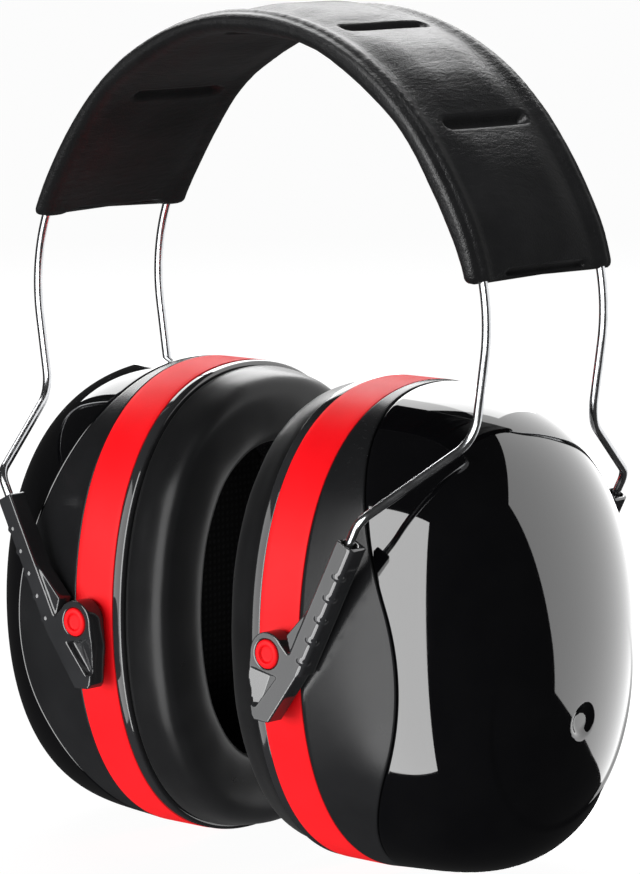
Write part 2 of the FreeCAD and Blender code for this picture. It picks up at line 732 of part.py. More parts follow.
def check(nodes):
    """Stop unless every object of the document is sound and every node is one valid solid."""
    for thing in doc.Objects:
        if "Invalid" in thing.State or "Error" in thing.State:
            raise RuntimeError(f"{thing.Name} is {thing.State}")
    for name, thing in nodes.items():
        shape = thing.Shape
        if shape.isNull() or not shape.isValid() or len(shape.Solids) != 1 or shape.Volume <= 0:
            raise RuntimeError(f"{name} isn't one valid solid: {len(shape.Solids)} solids")


def write(nodes):
    """Write each node's shape to its own file."""
    os.makedirs("parts", exist_ok=True)
    for name, thing in nodes.items():
        thing.Shape.exportStep(os.path.join("parts", f"{name}.step"))
        box = thing.Shape.BoundBox
        print(f"{name:22s} {thing.Shape.Volume:9.1f} mm3  x {box.XMin:7.2f} {box.XMax:7.2f}"
              f"  y {box.YMin:7.2f} {box.YMax:7.2f}  z {box.ZMin:7.2f} {box.ZMax:7.2f}")


model = make_model()
check(model)
write(model)
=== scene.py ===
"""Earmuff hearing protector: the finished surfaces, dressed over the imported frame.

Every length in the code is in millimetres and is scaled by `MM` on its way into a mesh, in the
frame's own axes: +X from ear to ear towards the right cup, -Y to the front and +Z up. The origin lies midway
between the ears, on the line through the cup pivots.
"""

import json
import logging
import math
from dataclasses import dataclass, field
from enum import Enum, IntEnum
from typing import Callable, Optional, Sequence

import bmesh
import bpy
from mathutils import Euler, Matrix, Vector, noise

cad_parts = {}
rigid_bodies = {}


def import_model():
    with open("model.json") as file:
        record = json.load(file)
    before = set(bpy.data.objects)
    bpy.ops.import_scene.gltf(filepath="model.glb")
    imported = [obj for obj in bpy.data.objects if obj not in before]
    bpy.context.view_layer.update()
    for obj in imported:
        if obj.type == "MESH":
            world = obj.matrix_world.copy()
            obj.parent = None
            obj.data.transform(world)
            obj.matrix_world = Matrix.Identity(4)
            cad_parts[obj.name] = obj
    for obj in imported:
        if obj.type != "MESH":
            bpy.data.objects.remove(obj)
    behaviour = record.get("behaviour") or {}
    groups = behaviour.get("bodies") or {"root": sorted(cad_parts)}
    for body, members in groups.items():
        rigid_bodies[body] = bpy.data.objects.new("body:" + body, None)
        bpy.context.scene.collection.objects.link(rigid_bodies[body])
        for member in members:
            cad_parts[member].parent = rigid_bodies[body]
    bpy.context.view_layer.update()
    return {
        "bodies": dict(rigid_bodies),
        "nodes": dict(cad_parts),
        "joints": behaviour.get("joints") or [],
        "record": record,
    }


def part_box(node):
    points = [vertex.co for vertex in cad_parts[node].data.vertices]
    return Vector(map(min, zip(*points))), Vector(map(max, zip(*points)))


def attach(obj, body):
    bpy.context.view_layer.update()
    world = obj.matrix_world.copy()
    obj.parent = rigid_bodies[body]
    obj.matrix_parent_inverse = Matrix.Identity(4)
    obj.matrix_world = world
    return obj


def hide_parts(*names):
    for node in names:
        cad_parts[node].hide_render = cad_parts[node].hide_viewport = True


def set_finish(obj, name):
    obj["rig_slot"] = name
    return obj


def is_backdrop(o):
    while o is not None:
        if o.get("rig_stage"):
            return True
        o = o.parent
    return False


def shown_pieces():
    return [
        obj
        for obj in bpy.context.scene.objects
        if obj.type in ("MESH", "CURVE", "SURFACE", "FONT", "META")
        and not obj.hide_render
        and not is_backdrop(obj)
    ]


LOG = logging.getLogger("earmuff")

MM = 0.001
TAU = 2 * math.pi
CLOTH_QUALITY = 4
CLOTH_MASS = 0.2
CLOTH_BENDING = 0.05

Row = list[Vector]
Skin = tuple[list[Vector], list[list[int]]]


class Side(IntEnum):
    """Which ear a piece belongs to; the value is the sign of its X."""

    RIGHT = 1
    LEFT = -1

    @property
    def word(self) -> str:
        """The side's name, as the node names spell it."""
        return self.name.lower()


class Depth(IntEnum):
    """Front or rear of the head; the value is the sign of its Y."""

    FRONT = -1
    REAR = 1

    @property
    def word(self) -> str:
        """The depth's name, as the node names spell it."""
        return self.name.lower()


class Coat(Enum):
    """The record's material slots."""

    RED = "red_plastic"
    SATIN = "satin_plastic"
    GLOSS = "gloss_plastic"
    RIM = "rim_plastic"
    ARM = "arm_plastic"
    SKIN = "soft_skin"
    LEATHER = "leatherette"
    STEEL = "spring_steel"
    FOAM = "grey_foam"
    MESH = "mesh_cloth"


# ---- mesh helpers


def smooth_step(low: float, high: float, value: float) -> float:
    """A soft ramp from 0 at low to 1 at high.

    Args:
        low: Where the ramp starts.
        high: Where the ramp ends.
        value: The point to read.

    Returns:
        The ramp's height, from 0 to 1.
    """
    share = min(max((value - low) / (high - low), 0.0), 1.0)
    return share * share * (3 - 2 * share)


def bump(centre: float, half_width: float, value: float) -> float:
    """A soft hill of height 1 at its centre that ends at its half width.

    Args:
        centre: Where the hill stands.
        half_width: How far it reaches each way.
        value: The point to read.

    Returns:
        The hill's height, from 0 to 1.
    """
    share = min(abs(value - centre) / half_width, 1.0)
    return (1 - share * share) ** 2


def link(name: str, mesh: bpy.types.Mesh) -> bpy.types.Object:
    """Put a mesh in the scene as an object.

    Args:
        name: The object's name.
        mesh: Its mesh.

    Returns:
        The new object.
    """
    piece = bpy.data.objects.new(name, mesh)
    bpy.context.collection.objects.link(piece)
    return piece


def mesh_piece(name: str, skin: Skin) -> bpy.types.Object:
    """Make a smooth-shaded object from a skin in millimetres, with its faces turned outwards.

    Args:
        name: The object's name.
        skin: Its vertices and faces.

    Returns:
        The new object.
    """
    mesh = bpy.data.meshes.new(name)
    mesh.from_pydata([tuple(point * MM) for point in skin[0]], [], skin[1])
    work = bmesh.new()
    work.from_mesh(mesh)
    bmesh.ops.recalc_face_normals(work, faces=work.faces)
    work.to_mesh(mesh)
    work.free()
    mesh.shade_smooth()
    return link(name, mesh)


def lattice(rows: Sequence[Row], around: bool = True, along: bool = False,
            first_pole: Optional[Vector] = None, last_pole: Optional[Vector] = None) -> Skin:
    """Join rows of points into a skin of four-sided faces.

    Args:
        rows: Rows with the same number of points.
        around: Whether each row closes on itself.
        along: Whether the last row joins the first.
        first_pole: A point that closes the skin before the first row.
        last_pole: A point that closes the skin after the last row.

    Returns:
        The vertices and the faces.
    """
    width = len(rows[0])
    points = [point for row in rows for point in row]
    steps = width if around else width - 1
    faces = []
    for index in range(len(rows) if along else len(rows) - 1):
        here, there = index * width, (index + 1) % len(rows) * width
        for step in range(steps):
            after = (step + 1) % width
            faces.append([here + step, here + after, there + after, there + step])
    for pole, base in ((first_pole, 0), (last_pole, (len(rows) - 1) * width)):
        if pole is not None:
            points.append(pole)
            faces += [[base + step, base + (step + 1) % width, len(points) - 1] for step in range(steps)]
    return points, faces


def spline(base: Sequence[tuple[float, float]], count: int, closed: bool) -> list[tuple[float, float]]:
    """A smooth line through some flat points.

    Args:
        base: The points.
        count: How many points the line gets.
        closed: Whether the line returns to its start.

    Returns:
        The line's points.
    """
    total = len(base)
    spans = total if closed else total - 1
    line = []
    for step in range(count):
        place = spans * step / (count if closed else count - 1)
        index = min(int(place), spans - 1)
        share = place - index
        picks = [(index + offset) % total if closed else min(max(index + offset, 0), total - 1)
                 for offset in (-1, 0, 1, 2)]
        before, start, end, after = (Vector(base[pick]) for pick in picks)
        point = 0.5 * (2 * start + (end - before) * share
                       + (2 * before - 5 * start + 4 * end - after) * share ** 2
                       + (3 * start - before - 3 * end + after) * share ** 3)
        line.append((point.x, point.y))
    return line


def even_steps(points: Row, count: int) -> list[tuple[int, float]]:
    """Find evenly spaced places on a line of close points.

    Args:
        points: The line.
        count: How many places are wanted.

    Returns:
        For each place, the number of the point before it and the share of the way to the next point.
    """
    lengths = [0.0]
    for before, after in zip(points, points[1:]):
        lengths.append(lengths[-1] + (after - before).length)
    steps, index = [], 0
    for step in range(count):
        target = lengths[-1] * step / (count - 1)
        while index < len(points) - 2 and lengths[index + 1] < target:
            index += 1
        span = lengths[index + 1] - lengths[index]
        steps.append((index, (target - lengths[index]) / span if span else 0.0))
    return steps


def settle(piece: bpy.types.Object) -> None:
    """Replace an object's mesh by what its modifiers make of it.

    Args:
        piece: The object to settle.
    """
    graph = bpy.context.evaluated_depsgraph_get()
    graph.update()
    settled = bpy.data.meshes.new_from_object(piece.evaluated_get(graph), depsgraph=graph)
    piece.modifiers.clear()
    piece.data = settled
    settled.shade_smooth()


def mirrored(source: bpy.types.Object, name: str, signs: tuple[int, int, int]) -> bpy.types.Object:
    """Copy an object with its mesh mirrored through the origin's planes.

    Args:
        source: The object to copy, with no modifiers on it.
        name: The copy's name.
        signs: 1 or -1 for each axis.

    Returns:
        The mirrored copy.
    """
    mesh = source.data.copy()
    mesh.name = name
    mesh.transform(Matrix.Diagonal((*signs, 1.0)))
    if math.prod(signs) < 0:
        mesh.flip_normals()
    return link(name, mesh)


def inflate(piece: bpy.types.Object, held: Callable[[Vector], float], pressure: float, frames: int,
            reach: float, stiffness: float) -> None:
    """Blow a soft skin up with a short cloth simulation, and keep the result in the mesh.

    Args:
        piece: The object to fill.
        held: How firmly a point is held, from 0 to 1, at a place in millimetres.
        pressure: The pressure inside it.
        frames: How many steps the filling takes.
        reach: How far a point may move, in millimetres.
        stiffness: How hard the skin is to stretch.
    """
    rest = [vertex.co.copy() for vertex in piece.data.vertices]
    group = piece.vertex_groups.new(name="held")
    for index, point in enumerate(rest):
        group.add([index], held(point / MM), "REPLACE")
    cloth = piece.modifiers.new("Fill", "CLOTH")
    cloth.settings.quality = CLOTH_QUALITY
    cloth.settings.mass = CLOTH_MASS
    cloth.settings.tension_stiffness = stiffness
    cloth.settings.compression_stiffness = stiffness
    cloth.settings.shear_stiffness = stiffness / 2
    cloth.settings.bending_stiffness = CLOTH_BENDING
    cloth.settings.use_pressure = True
    cloth.settings.uniform_pressure_force = pressure
    cloth.settings.vertex_group_mass = group.name
    cloth.settings.effector_weights.gravity = 0
    cloth.collision_settings.use_collision = False
    cloth.point_cache.frame_start = 1
    cloth.point_cache.frame_end = frames
    scene = bpy.context.scene
    for frame in range(1, frames + 1):
        scene.frame_set(frame)
    settle(piece)
    scene.frame_set(1)
    for vertex, start in zip(piece.data.vertices, rest):
        shift = vertex.co - start
        if shift.length > reach * MM:
            vertex.co = start + shift.normalized() * reach * MM
    piece.vertex_groups.clear()


# ---- shader groups


@dataclass(frozen=True)
class Plug:
    """One input or output of a shader group."""

    name: str
    kind: str = "NodeSocketFloat"
    value: float = 0.0


class ShaderGroup:
    """An effect that several finishes share, built once as a node group."""

    def __init__(self, name: str, inputs: Sequence[Plug], outputs: Sequence[Plug]) -> None:
        """Make the group with its sockets.

        Args:
            name: The group's name.
            inputs: Its inputs.
            outputs: Its outputs.
        """
        self.tree = bpy.data.node_groups.new(name, "ShaderNodeTree")
        for direction, plugs in (("INPUT", inputs), ("OUTPUT", outputs)):
            for plug in plugs:
                socket = self.tree.interface.new_socket(plug.name, in_out=direction, socket_type=plug.kind)
                if direction == "INPUT" and plug.kind == "NodeSocketFloat":
                    socket.default_value = plug.value
        self.entry = self.tree.nodes.new("NodeGroupInput")
        self.exit = self.tree.nodes.new("NodeGroupOutput")

    def node(self, kind: str, values: Optional[dict[object, object]] = None, **settings: object
             ) -> bpy.types.Node:
        """Add a node, as add_node does."""
        return add_node(self.tree, kind, values, **settings)

    def give(self, name: str, socket: bpy.types.NodeSocket) -> None:
        """Join a socket to one of the group's outputs."""
        self.tree.links.new(socket, self.exit.inputs[name])


def add_node(tree: bpy.types.NodeTree, kind: str, values: Optional[dict[object, object]] = None,
             **settings: object) -> bpy.types.Node:
    """Add a node to a tree.

    Args:
        tree: The tree.
        kind: Blender's name for the node, without its prefix.
        values: Its inputs by name or number: a socket to join, or a constant.
        **settings: Its properties.

    Returns:
        The node.
    """
    node = tree.nodes.new("ShaderNode" + kind)
    for name, value in settings.items():
        setattr(node, name, value)
    for key, value in (values or {}).items():
        if isinstance(value, bpy.types.NodeSocket):
            tree.links.new(value, node.inputs[key])
        else:
            node.inputs[key].default_value = value
    return node


def add_ramp(tree: bpy.types.NodeTree, value: bpy.types.NodeSocket,
             stops: Sequence[tuple[float, tuple[float, float, float]]]) -> bpy.types.NodeSocket:
    """Add a ramp of colours.

    Args:
        tree: The tree.
        value: What the ramp reads.
        stops: Places from 0 to 1, and their colours.

    Returns:
        The ramp's colour.
    """
    node = add_node(tree, "ValToRGB", {"Fac": value})
    for element, (place, colour) in zip(node.color_ramp.elements, stops):
        element.position, element.color = place, (*colour, 1)
    for place, colour in stops[2:]:
        node.color_ramp.elements.new(place).color = (*colour, 1)
    return node.outputs["Color"]


def grey(tone: float) -> tuple[float, float, float]:
    """A grey of one tone."""
    return tone, tone, tone


def build_speckle() -> bpy.types.NodeTree:
    """Fine moulded texture: a height and an uneven tint.

    Returns:
        The group's tree, with the outputs Height and Shade.
    """
    group = ShaderGroup("fine_texture", [Plug("Scale", value=900.0), Plug("Patches", value=60.0)],
                        [Plug("Height"), Plug("Shade")])
    place = group.node("TexCoord").outputs["Object"]
    fine = group.node("TexNoise", {"Vector": place, "Scale": group.entry.outputs["Scale"], "Detail": 3.0,
                                   "Roughness": 0.6})
    broad = group.node("TexNoise", {"Vector": place, "Scale": group.entry.outputs["Patches"],
                                    "Detail": 4.0, "Roughness": 0.55})
    group.give("Height", fine.outputs["Fac"])
    group.give("Shade", broad.outputs["Fac"])
    return group.tree


def build_pebble() -> bpy.types.NodeTree:
    """Pebbled leather grain: rounded cells with creases between them.

    Returns:
        The group's tree, with the outputs Height and Crease.
    """
    group = ShaderGroup("leather_grain", [Plug("Scale", value=1400.0), Plug("Wander", value=0.35)],
                        [Plug("Height"), Plug("Crease")])
    place = group.node("TexCoord").outputs["Object"]
    drift = group.node("TexNoise", {"Vector": place, "Scale": 260.0, "Detail": 2.0})
    scaled = group.node("VectorMath", {0: place, "Scale": group.entry.outputs["Scale"]}, operation="SCALE")
    moved = group.node("VectorMath", {0: drift.outputs["Color"], "Scale": group.entry.outputs["Wander"]},
                       operation="SCALE")
    where = group.node("VectorMath", {0: scaled.outputs["Vector"], 1: moved.outputs["Vector"]},
                       operation="ADD")
    cells = group.node("TexVoronoi", {"Vector": where.outputs["Vector"], "Scale": 1.0},
                       feature="DISTANCE_TO_EDGE")
    group.give("Height", add_ramp(group.tree, cells.outputs["Distance"],
                                  [(0.0, grey(0.0)), (0.16, grey(0.75)), (0.5, grey(1.0))]))
    group.give("Crease", cells.outputs["Distance"])
    return group.tree


def build_handling() -> bpy.types.NodeTree:
    """Signs of handling: faint smudges, and fine dust that settles on what faces up.

    Returns:
        The group's tree, with the outputs Rough and Dust.
    """
    group = ShaderGroup("handling",
                        [Plug("Low", value=0.3), Plug("High", value=0.4), Plug("Scale", value=40.0)],
                        [Plug("Rough"), Plug("Dust")])
    place = group.node("TexCoord").outputs["Object"]
    smear = group.node("Mapping", {"Vector": place, "Scale": (1.0, 0.6, 1.7)})
    film = group.node("TexNoise", {"Vector": smear.outputs["Vector"], "Scale": group.entry.outputs["Scale"],
                                   "Detail": 5.0, "Roughness": 0.62, "Distortion": 0.4})
    rough = group.node("MapRange", {"Value": film.outputs["Fac"], "From Min": 0.3, "From Max": 0.72,
                                    "To Min": group.entry.outputs["Low"],
                                    "To Max": group.entry.outputs["High"]})
    grit = group.node("TexNoise", {"Vector": place, "Scale": 1500.0, "Detail": 1.0})
    specks = add_ramp(group.tree, grit.outputs["Fac"], [(0.62, grey(0.0)), (0.74, grey(1.0))])
    facing = group.node("SeparateXYZ", {"Vector": group.node("NewGeometry").outputs["Normal"]})
    upward = group.node("MapRange", {"Value": facing.outputs["Z"], "From Min": 0.35, "From Max": 1.0})
    dust = group.node("Math", {0: specks, 1: upward.outputs["Result"]}, operation="MULTIPLY")
    group.give("Rough", rough.outputs["Result"])
    group.give("Dust", dust.outputs["Value"])
    return group.tree


@dataclass
class Effects:
    """The shader groups that the finishes share."""

    speckle: bpy.types.NodeTree = field(default_factory=build_speckle)
    pebble: bpy.types.NodeTree = field(default_factory=build_pebble)
    handling: bpy.types.NodeTree = field(default_factory=build_handling)


class Recipe:
    """A material in the making: one Principled shader and the nodes that feed it."""

    def __init__(self, name: str, effects: Effects) -> None:
        """Start a material.

        Args:
            name: The material's name.
            effects: The shared shader groups.
        """
        self.material = bpy.data.materials.new(name)
        self.material.use_nodes = True
        self.tree = self.material.node_tree
        self.shader = self.tree.nodes["Principled BSDF"]
        self.effects = effects

    def set(self, **constants: object) -> None:
        """Set constants on the shader's own sockets.

        Args:
            **constants: Values by socket name, with _ for a space.
        """
        for name, value in constants.items():
            self.shader.inputs[name.replace("_", " ")].default_value = value

    def node(self, kind: str, values: Optional[dict[object, object]] = None, **settings: object
             ) -> bpy.types.Node:
        """Add a node, as add_node does."""
        return add_node(self.tree, kind, values, **settings)

    def effect(self, group: bpy.types.NodeTree, **inputs: float) -> bpy.types.Node:
        """Place a shared group with its own values.

        Args:
            group: The shared group.
            **inputs: Values by socket name.

        Returns:
            The group node.
        """
        node = self.node("Group", node_tree=group)
        for name, value in inputs.items():
            node.inputs[name].default_value = value
        return node

    def feed(self, name: str, socket: bpy.types.NodeSocket) -> None:
        """Join a socket to the shader."""
        self.tree.links.new(socket, self.shader.inputs[name])

    def tint(self, shade: bpy.types.NodeSocket, dark: tuple[float, float, float],
             light: tuple[float, float, float], low: float = 0.3, high: float = 0.7) -> bpy.types.NodeSocket:
        """Let the colour run between two tones and feed it to the shader.

        Args:
            shade: The value that mixes them.
            dark: The colour at low.
            light: The colour at high.
            low: The value that gives the dark tone.
            high: The value that gives the light tone.

        Returns:
            The mixed colour.
        """
        colour = add_ramp(self.tree, shade, [(low, dark), (high, light)])
        self.feed("Base Color", colour)
        return colour

    def handled(self, low: float, high: float, scale: float) -> bpy.types.Node:
        """Let the roughness run between two values, as handling leaves it.

        Args:
            low: The smoothest.
            high: The roughest.
            scale: The scale of the smudges.

        Returns:
            The handling node.
        """
        node = self.effect(self.effects.handling, Low=low, High=high, Scale=scale)
        self.feed("Roughness", node.outputs["Rough"])
        return node

    def matt(self, scale: float, low: float, high: float) -> None:
        """Let a matt surface's roughness wander between two values.

        Args:
            scale: The scale of the fine texture.
            low: The smoothest.
            high: The roughest.
        """
        texture = self.effect(self.effects.speckle, Scale=scale)
        rough = self.node("MapRange", {"Value": texture.outputs["Shade"], "To Min": low, "To Max": high})
        self.feed("Roughness", rough.outputs["Result"])

    def relief(self, height: bpy.types.NodeSocket, depth: float, strength: float = 1.0,
               under: Optional[bpy.types.Node] = None) -> bpy.types.Node:
        """Raise the surface by a height, over an earlier relief if there is one.

        Args:
            height: The height, from 0 to 1.
            depth: How far 1 rises, in millimetres.
            strength: How much of it shows.
            under: The relief below it.

        Returns:
            The bump node, joined to the shader.
        """
        values = {"Height": height, "Distance": depth * MM, "Strength": strength}
        if under is not None:
            values["Normal"] = under.outputs["Normal"]
        node = self.node("Bump", values)
        self.feed("Normal", node.outputs["Normal"])
        return node


# ---- finishes


class Finish:
    """What every finish does: start a material and feed its shader."""

    def build(self, coat: Coat, effects: Effects) -> bpy.types.Material:
        """Make the material.

        Args:
            coat: The slot it finishes.
            effects: The shared shader groups.

        Returns:
            The material.
        """
        recipe = Recipe(coat.value, effects)
        self.dress(recipe)
        return recipe.material

    def dress(self, recipe: Recipe) -> None:
        """Feed the shader; each finish has its own way."""
        raise NotImplementedError


@dataclass(frozen=True)
class Moulding(Finish):
    """A moulded plastic: its colour, its sheen and its fine texture."""

    dark: tuple[float, float, float]
    light: tuple[float, float, float]
    smooth: float
    rough: float
    texture: float
    texture_scale: float = 900.0
    smudge_scale: float = 40.0
    specular: float = 0.5
    dust: float = 0.0

    def dress(self, recipe: Recipe) -> None:
        """Feed the shader.

        Args:
            recipe: The material in the making.
        """
        recipe.set(Specular_IOR_Level=self.specular)
        texture = recipe.effect(recipe.effects.speckle, Scale=self.texture_scale)
        handling = recipe.handled(self.smooth, self.rough, self.smudge_scale)
        colour = recipe.tint(texture.outputs["Shade"], self.dark, self.light)
        if self.dust:
            amount = recipe.node("Math", {0: handling.outputs["Dust"], 1: self.dust}, operation="MULTIPLY")
            mixed = recipe.node("Mix", {0: amount.outputs["Value"], 6: colour, 7: (0.35, 0.34, 0.33, 1)},
                                data_type="RGBA")
            recipe.feed("Base Color", mixed.outputs[2])
        if self.texture:
            recipe.relief(texture.outputs["Height"], self.texture)


@dataclass(frozen=True)
class SoftSkin(Finish):
    """Leatherette or soft film over padding: a pebbled grain under a soft sheen."""

    dark: tuple[float, float, float]
    light: tuple[float, float, float]
    smooth: float
    rough: float
    grain: float
    grain_depth: float
    crease: float
    crease_scale: float
    crease_stretch: float
    sheen: float
    specular: float

    def dress(self, recipe: Recipe) -> None:
        """Feed the shader.

        Args:
            recipe: The material in the making.
        """
        recipe.set(Sheen_Weight=self.sheen, Sheen_Roughness=0.5, Specular_IOR_Level=self.specular)
        grain = recipe.effect(recipe.effects.pebble, Scale=self.grain)
        texture = recipe.effect(recipe.effects.speckle, Scale=520.0, Patches=90.0)
        recipe.handled(self.smooth, self.rough, 70.0)
        place = recipe.node("TexCoord").outputs["Object"]
        drawn = recipe.node("Mapping", {"Vector": place, "Scale": (1.0, self.crease_stretch, 1.0)})
        creases = recipe.node("TexNoise", {"Vector": drawn.outputs["Vector"], "Scale": self.crease_scale,
                                           "Detail": 3.0, "Roughness": 0.55, "Distortion": 0.5})
        recipe.tint(texture.outputs["Shade"], self.dark, self.light)
        folds = recipe.relief(creases.outputs["Fac"], self.crease)
        recipe.relief(grain.outputs["Height"], self.grain_depth, under=folds)


@dataclass(frozen=True)
class SpringSteel(Finish):
    """Drawn and polished wire: bright, with fine marks."""

    dark: tuple[float, float, float] = (0.66, 0.67, 0.69)
    light: tuple[float, float, float] = (0.82, 0.83, 0.85)

    def dress(self, recipe: Recipe) -> None:
        """Feed the shader.

        Args:
            recipe: The material in the making.
        """
        recipe.set(Metallic=1.0)
        texture = recipe.effect(recipe.effects.speckle, Scale=2600.0, Patches=350.0)
        recipe.handled(0.16, 0.28, 300.0)
        recipe.tint(texture.outputs["Shade"], self.dark, self.light)
        recipe.relief(texture.outputs["Height"], 0.003, 0.4)


@dataclass(frozen=True)
class OpenFoam(Finish):
    """Open-celled damping foam, with painted shade: its tone is darker in the low creases between its cells.
    """

    dark: tuple[float, float, float] = (0.030, 0.030, 0.033)
    light: tuple[float, float, float] = (0.085, 0.085, 0.090)

    def dress(self, recipe: Recipe) -> None:
        """Feed the shader.

        Args:
            recipe: The material in the making.
        """
        cells = recipe.effect(recipe.effects.pebble, Scale=1100.0, Wander=1.2)
        # Painted shade: the tone follows the cells' height, so the low creases between the cells are painted
        # darker.
        recipe.tint(cells.outputs["Height"], self.dark, self.light, 0.1, 0.9)
        recipe.matt(1800.0, 0.85, 1.0)
        recipe.relief(cells.outputs["Height"], 0.25)


@dataclass(frozen=True)
class WovenCloth(Finish):
    """Thin acoustic cloth: a plain weave of round threads, black, with painted shade: its tones are darker
    still to stand for the shade inside the cushion's opening, and darkest in the low places between the
    threads.
    """

    threads: float = 1250.0
    # The cloth is black. These tones are set darker still, as painted shade inside the cushion's opening.
    dark: tuple[float, float, float] = (0.004, 0.004, 0.0045)
    light: tuple[float, float, float] = (0.018, 0.018, 0.020)

    def dress(self, recipe: Recipe) -> None:
        """Feed the shader.

        Args:
            recipe: The material in the making.
        """
        recipe.set(Sheen_Weight=0.05, Sheen_Roughness=0.6)
        place = recipe.node("TexCoord").outputs["Object"]
        across = recipe.node("TexWave", {"Vector": place, "Scale": self.threads / TAU}, bands_direction="Y")
        upward = recipe.node("TexWave", {"Vector": place, "Scale": self.threads / TAU}, bands_direction="Z")
        weave = recipe.node("Math", {0: across.outputs["Fac"], 1: upward.outputs["Fac"]},
                            operation="MULTIPLY")
        # Painted shade: the tone follows the weave's height, so the low places between the threads are
        # painted darker.
        recipe.tint(weave.outputs["Value"], self.dark, self.light, 0.05, 0.7)
        recipe.matt(1500.0, 0.75, 0.95)
        recipe.relief(weave.outputs["Value"], 0.12)


FINISHES: dict[Coat, Finish] = {
    Coat.RED: Moulding(dark=(0.80, 0.004, 0.008), light=(0.88, 0.006, 0.011), smooth=0.42, rough=0.52,
                       texture=0.004, texture_scale=1400.0, specular=0.10),
    Coat.SATIN: Moulding(dark=(0.0100, 0.0102, 0.0110), light=(0.0145, 0.0148, 0.0158), smooth=0.20,
                         rough=0.27, texture=0.010, texture_scale=1900.0, dust=0.05),
    Coat.GLOSS: Moulding(dark=(0.0007, 0.0007, 0.0009), light=(0.0012, 0.0012, 0.0014), smooth=0.02,
                         rough=0.05, texture=0.0, smudge_scale=24.0, specular=0.55),
    Coat.RIM: Moulding(dark=(0.006, 0.006, 0.0065), light=(0.009, 0.009, 0.0095), smooth=0.05, rough=0.09,
                       texture=0.003),
    Coat.ARM: Moulding(dark=(0.008, 0.0082, 0.0088), light=(0.012, 0.0123, 0.0130), smooth=0.07, rough=0.12,
                       texture=0.002, texture_scale=1700.0, dust=0.03),
    Coat.SKIN: SoftSkin(dark=(0.0060, 0.0061, 0.0066), light=(0.0090, 0.0092, 0.0098), smooth=0.27,
                        rough=0.34, grain=2600.0, grain_depth=0.005, crease=0.012, crease_scale=260.0,
                        crease_stretch=1.0, sheen=0.05, specular=0.42),
    Coat.LEATHER: SoftSkin(dark=(0.0040, 0.0041, 0.0044), light=(0.0070, 0.0071, 0.0076), smooth=0.32,
                           rough=0.44, grain=1500.0, grain_depth=0.03, crease=0.15, crease_scale=900.0,
                           crease_stretch=0.3, sheen=0.03, specular=0.36),
    Coat.STEEL: SpringSteel(),
    Coat.FOAM: OpenFoam(),
    Coat.MESH: WovenCloth(),
}


class Paint:
    """Every finish of the earmuff as a material, and the record's slot that goes with it."""

    def __init__(self) -> None:
        """Build the shared groups, then a material for each slot."""
        effects = Effects()
        self.materials = {coat: finish.build(coat, effects) for coat, finish in FINISHES.items()}

    def apply(self, piece: bpy.types.Object, coat: Coat) -> None:
        """Give a piece one finish all over.

        Args:
            piece: The piece, made here or carried over.
            coat: Its slot.
        """
        piece.data.materials.clear()
        piece.data.materials.append(self.materials[coat])
        piece.data.polygons.foreach_set("material_index", [0] * len(piece.data.polygons))
        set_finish(piece, coat.value)


def finish_piece(piece: bpy.types.Object, paint: Paint, coat: Coat, body: str, nodes: Sequence[str]) -> bpy.types.Object:
    """Dress a piece, fix it to its body and hide the solids that it stands for.

    Args:
        piece: The piece.
        paint: The finishes.
        coat: Its slot.
        body: The body it moves with.
        nodes: The solids that it stands for.

    Returns:
        The piece.
    """
    paint.apply(piece, coat)
    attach(piece, body)
    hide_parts(*nodes)
    LOG.info("%s: %d faces on %s", piece.name, len(piece.data.polygons), body)
    return piece


# ---- ear cup


@dataclass(frozen=True)
class Oval:
    """The cup's outline in a plane across X: an ellipse, filled out towards its four shoulders."""

    half_width: float = 43.2
    half_height: float = 55.0
    lift: float = 0.5
    fullness: float = 0.037

    def at(self, turn: float, inset: float, across: float) -> Vector:
        """A point of the outline.

        Args:
            turn: How far round it lies, from +Y towards +Z.
            inset: How far inside the outline it lies.
            across: Its X.

        Returns:
            The point.
        """
        swell = 1 + self.fullness * math.sin(2 * turn) ** 2
        return Vector((across, (self.half_width - inset) * math.cos(turn) * swell,
                       self.lift + (self.half_height - inset) * math.sin(turn) * swell))

    def ring(self, inset: float, across: float, count: int) -> Row:
        """A whole row of points round the outline."""
        return [self.at(TAU * index / count, inset, across) for index in range(count)]


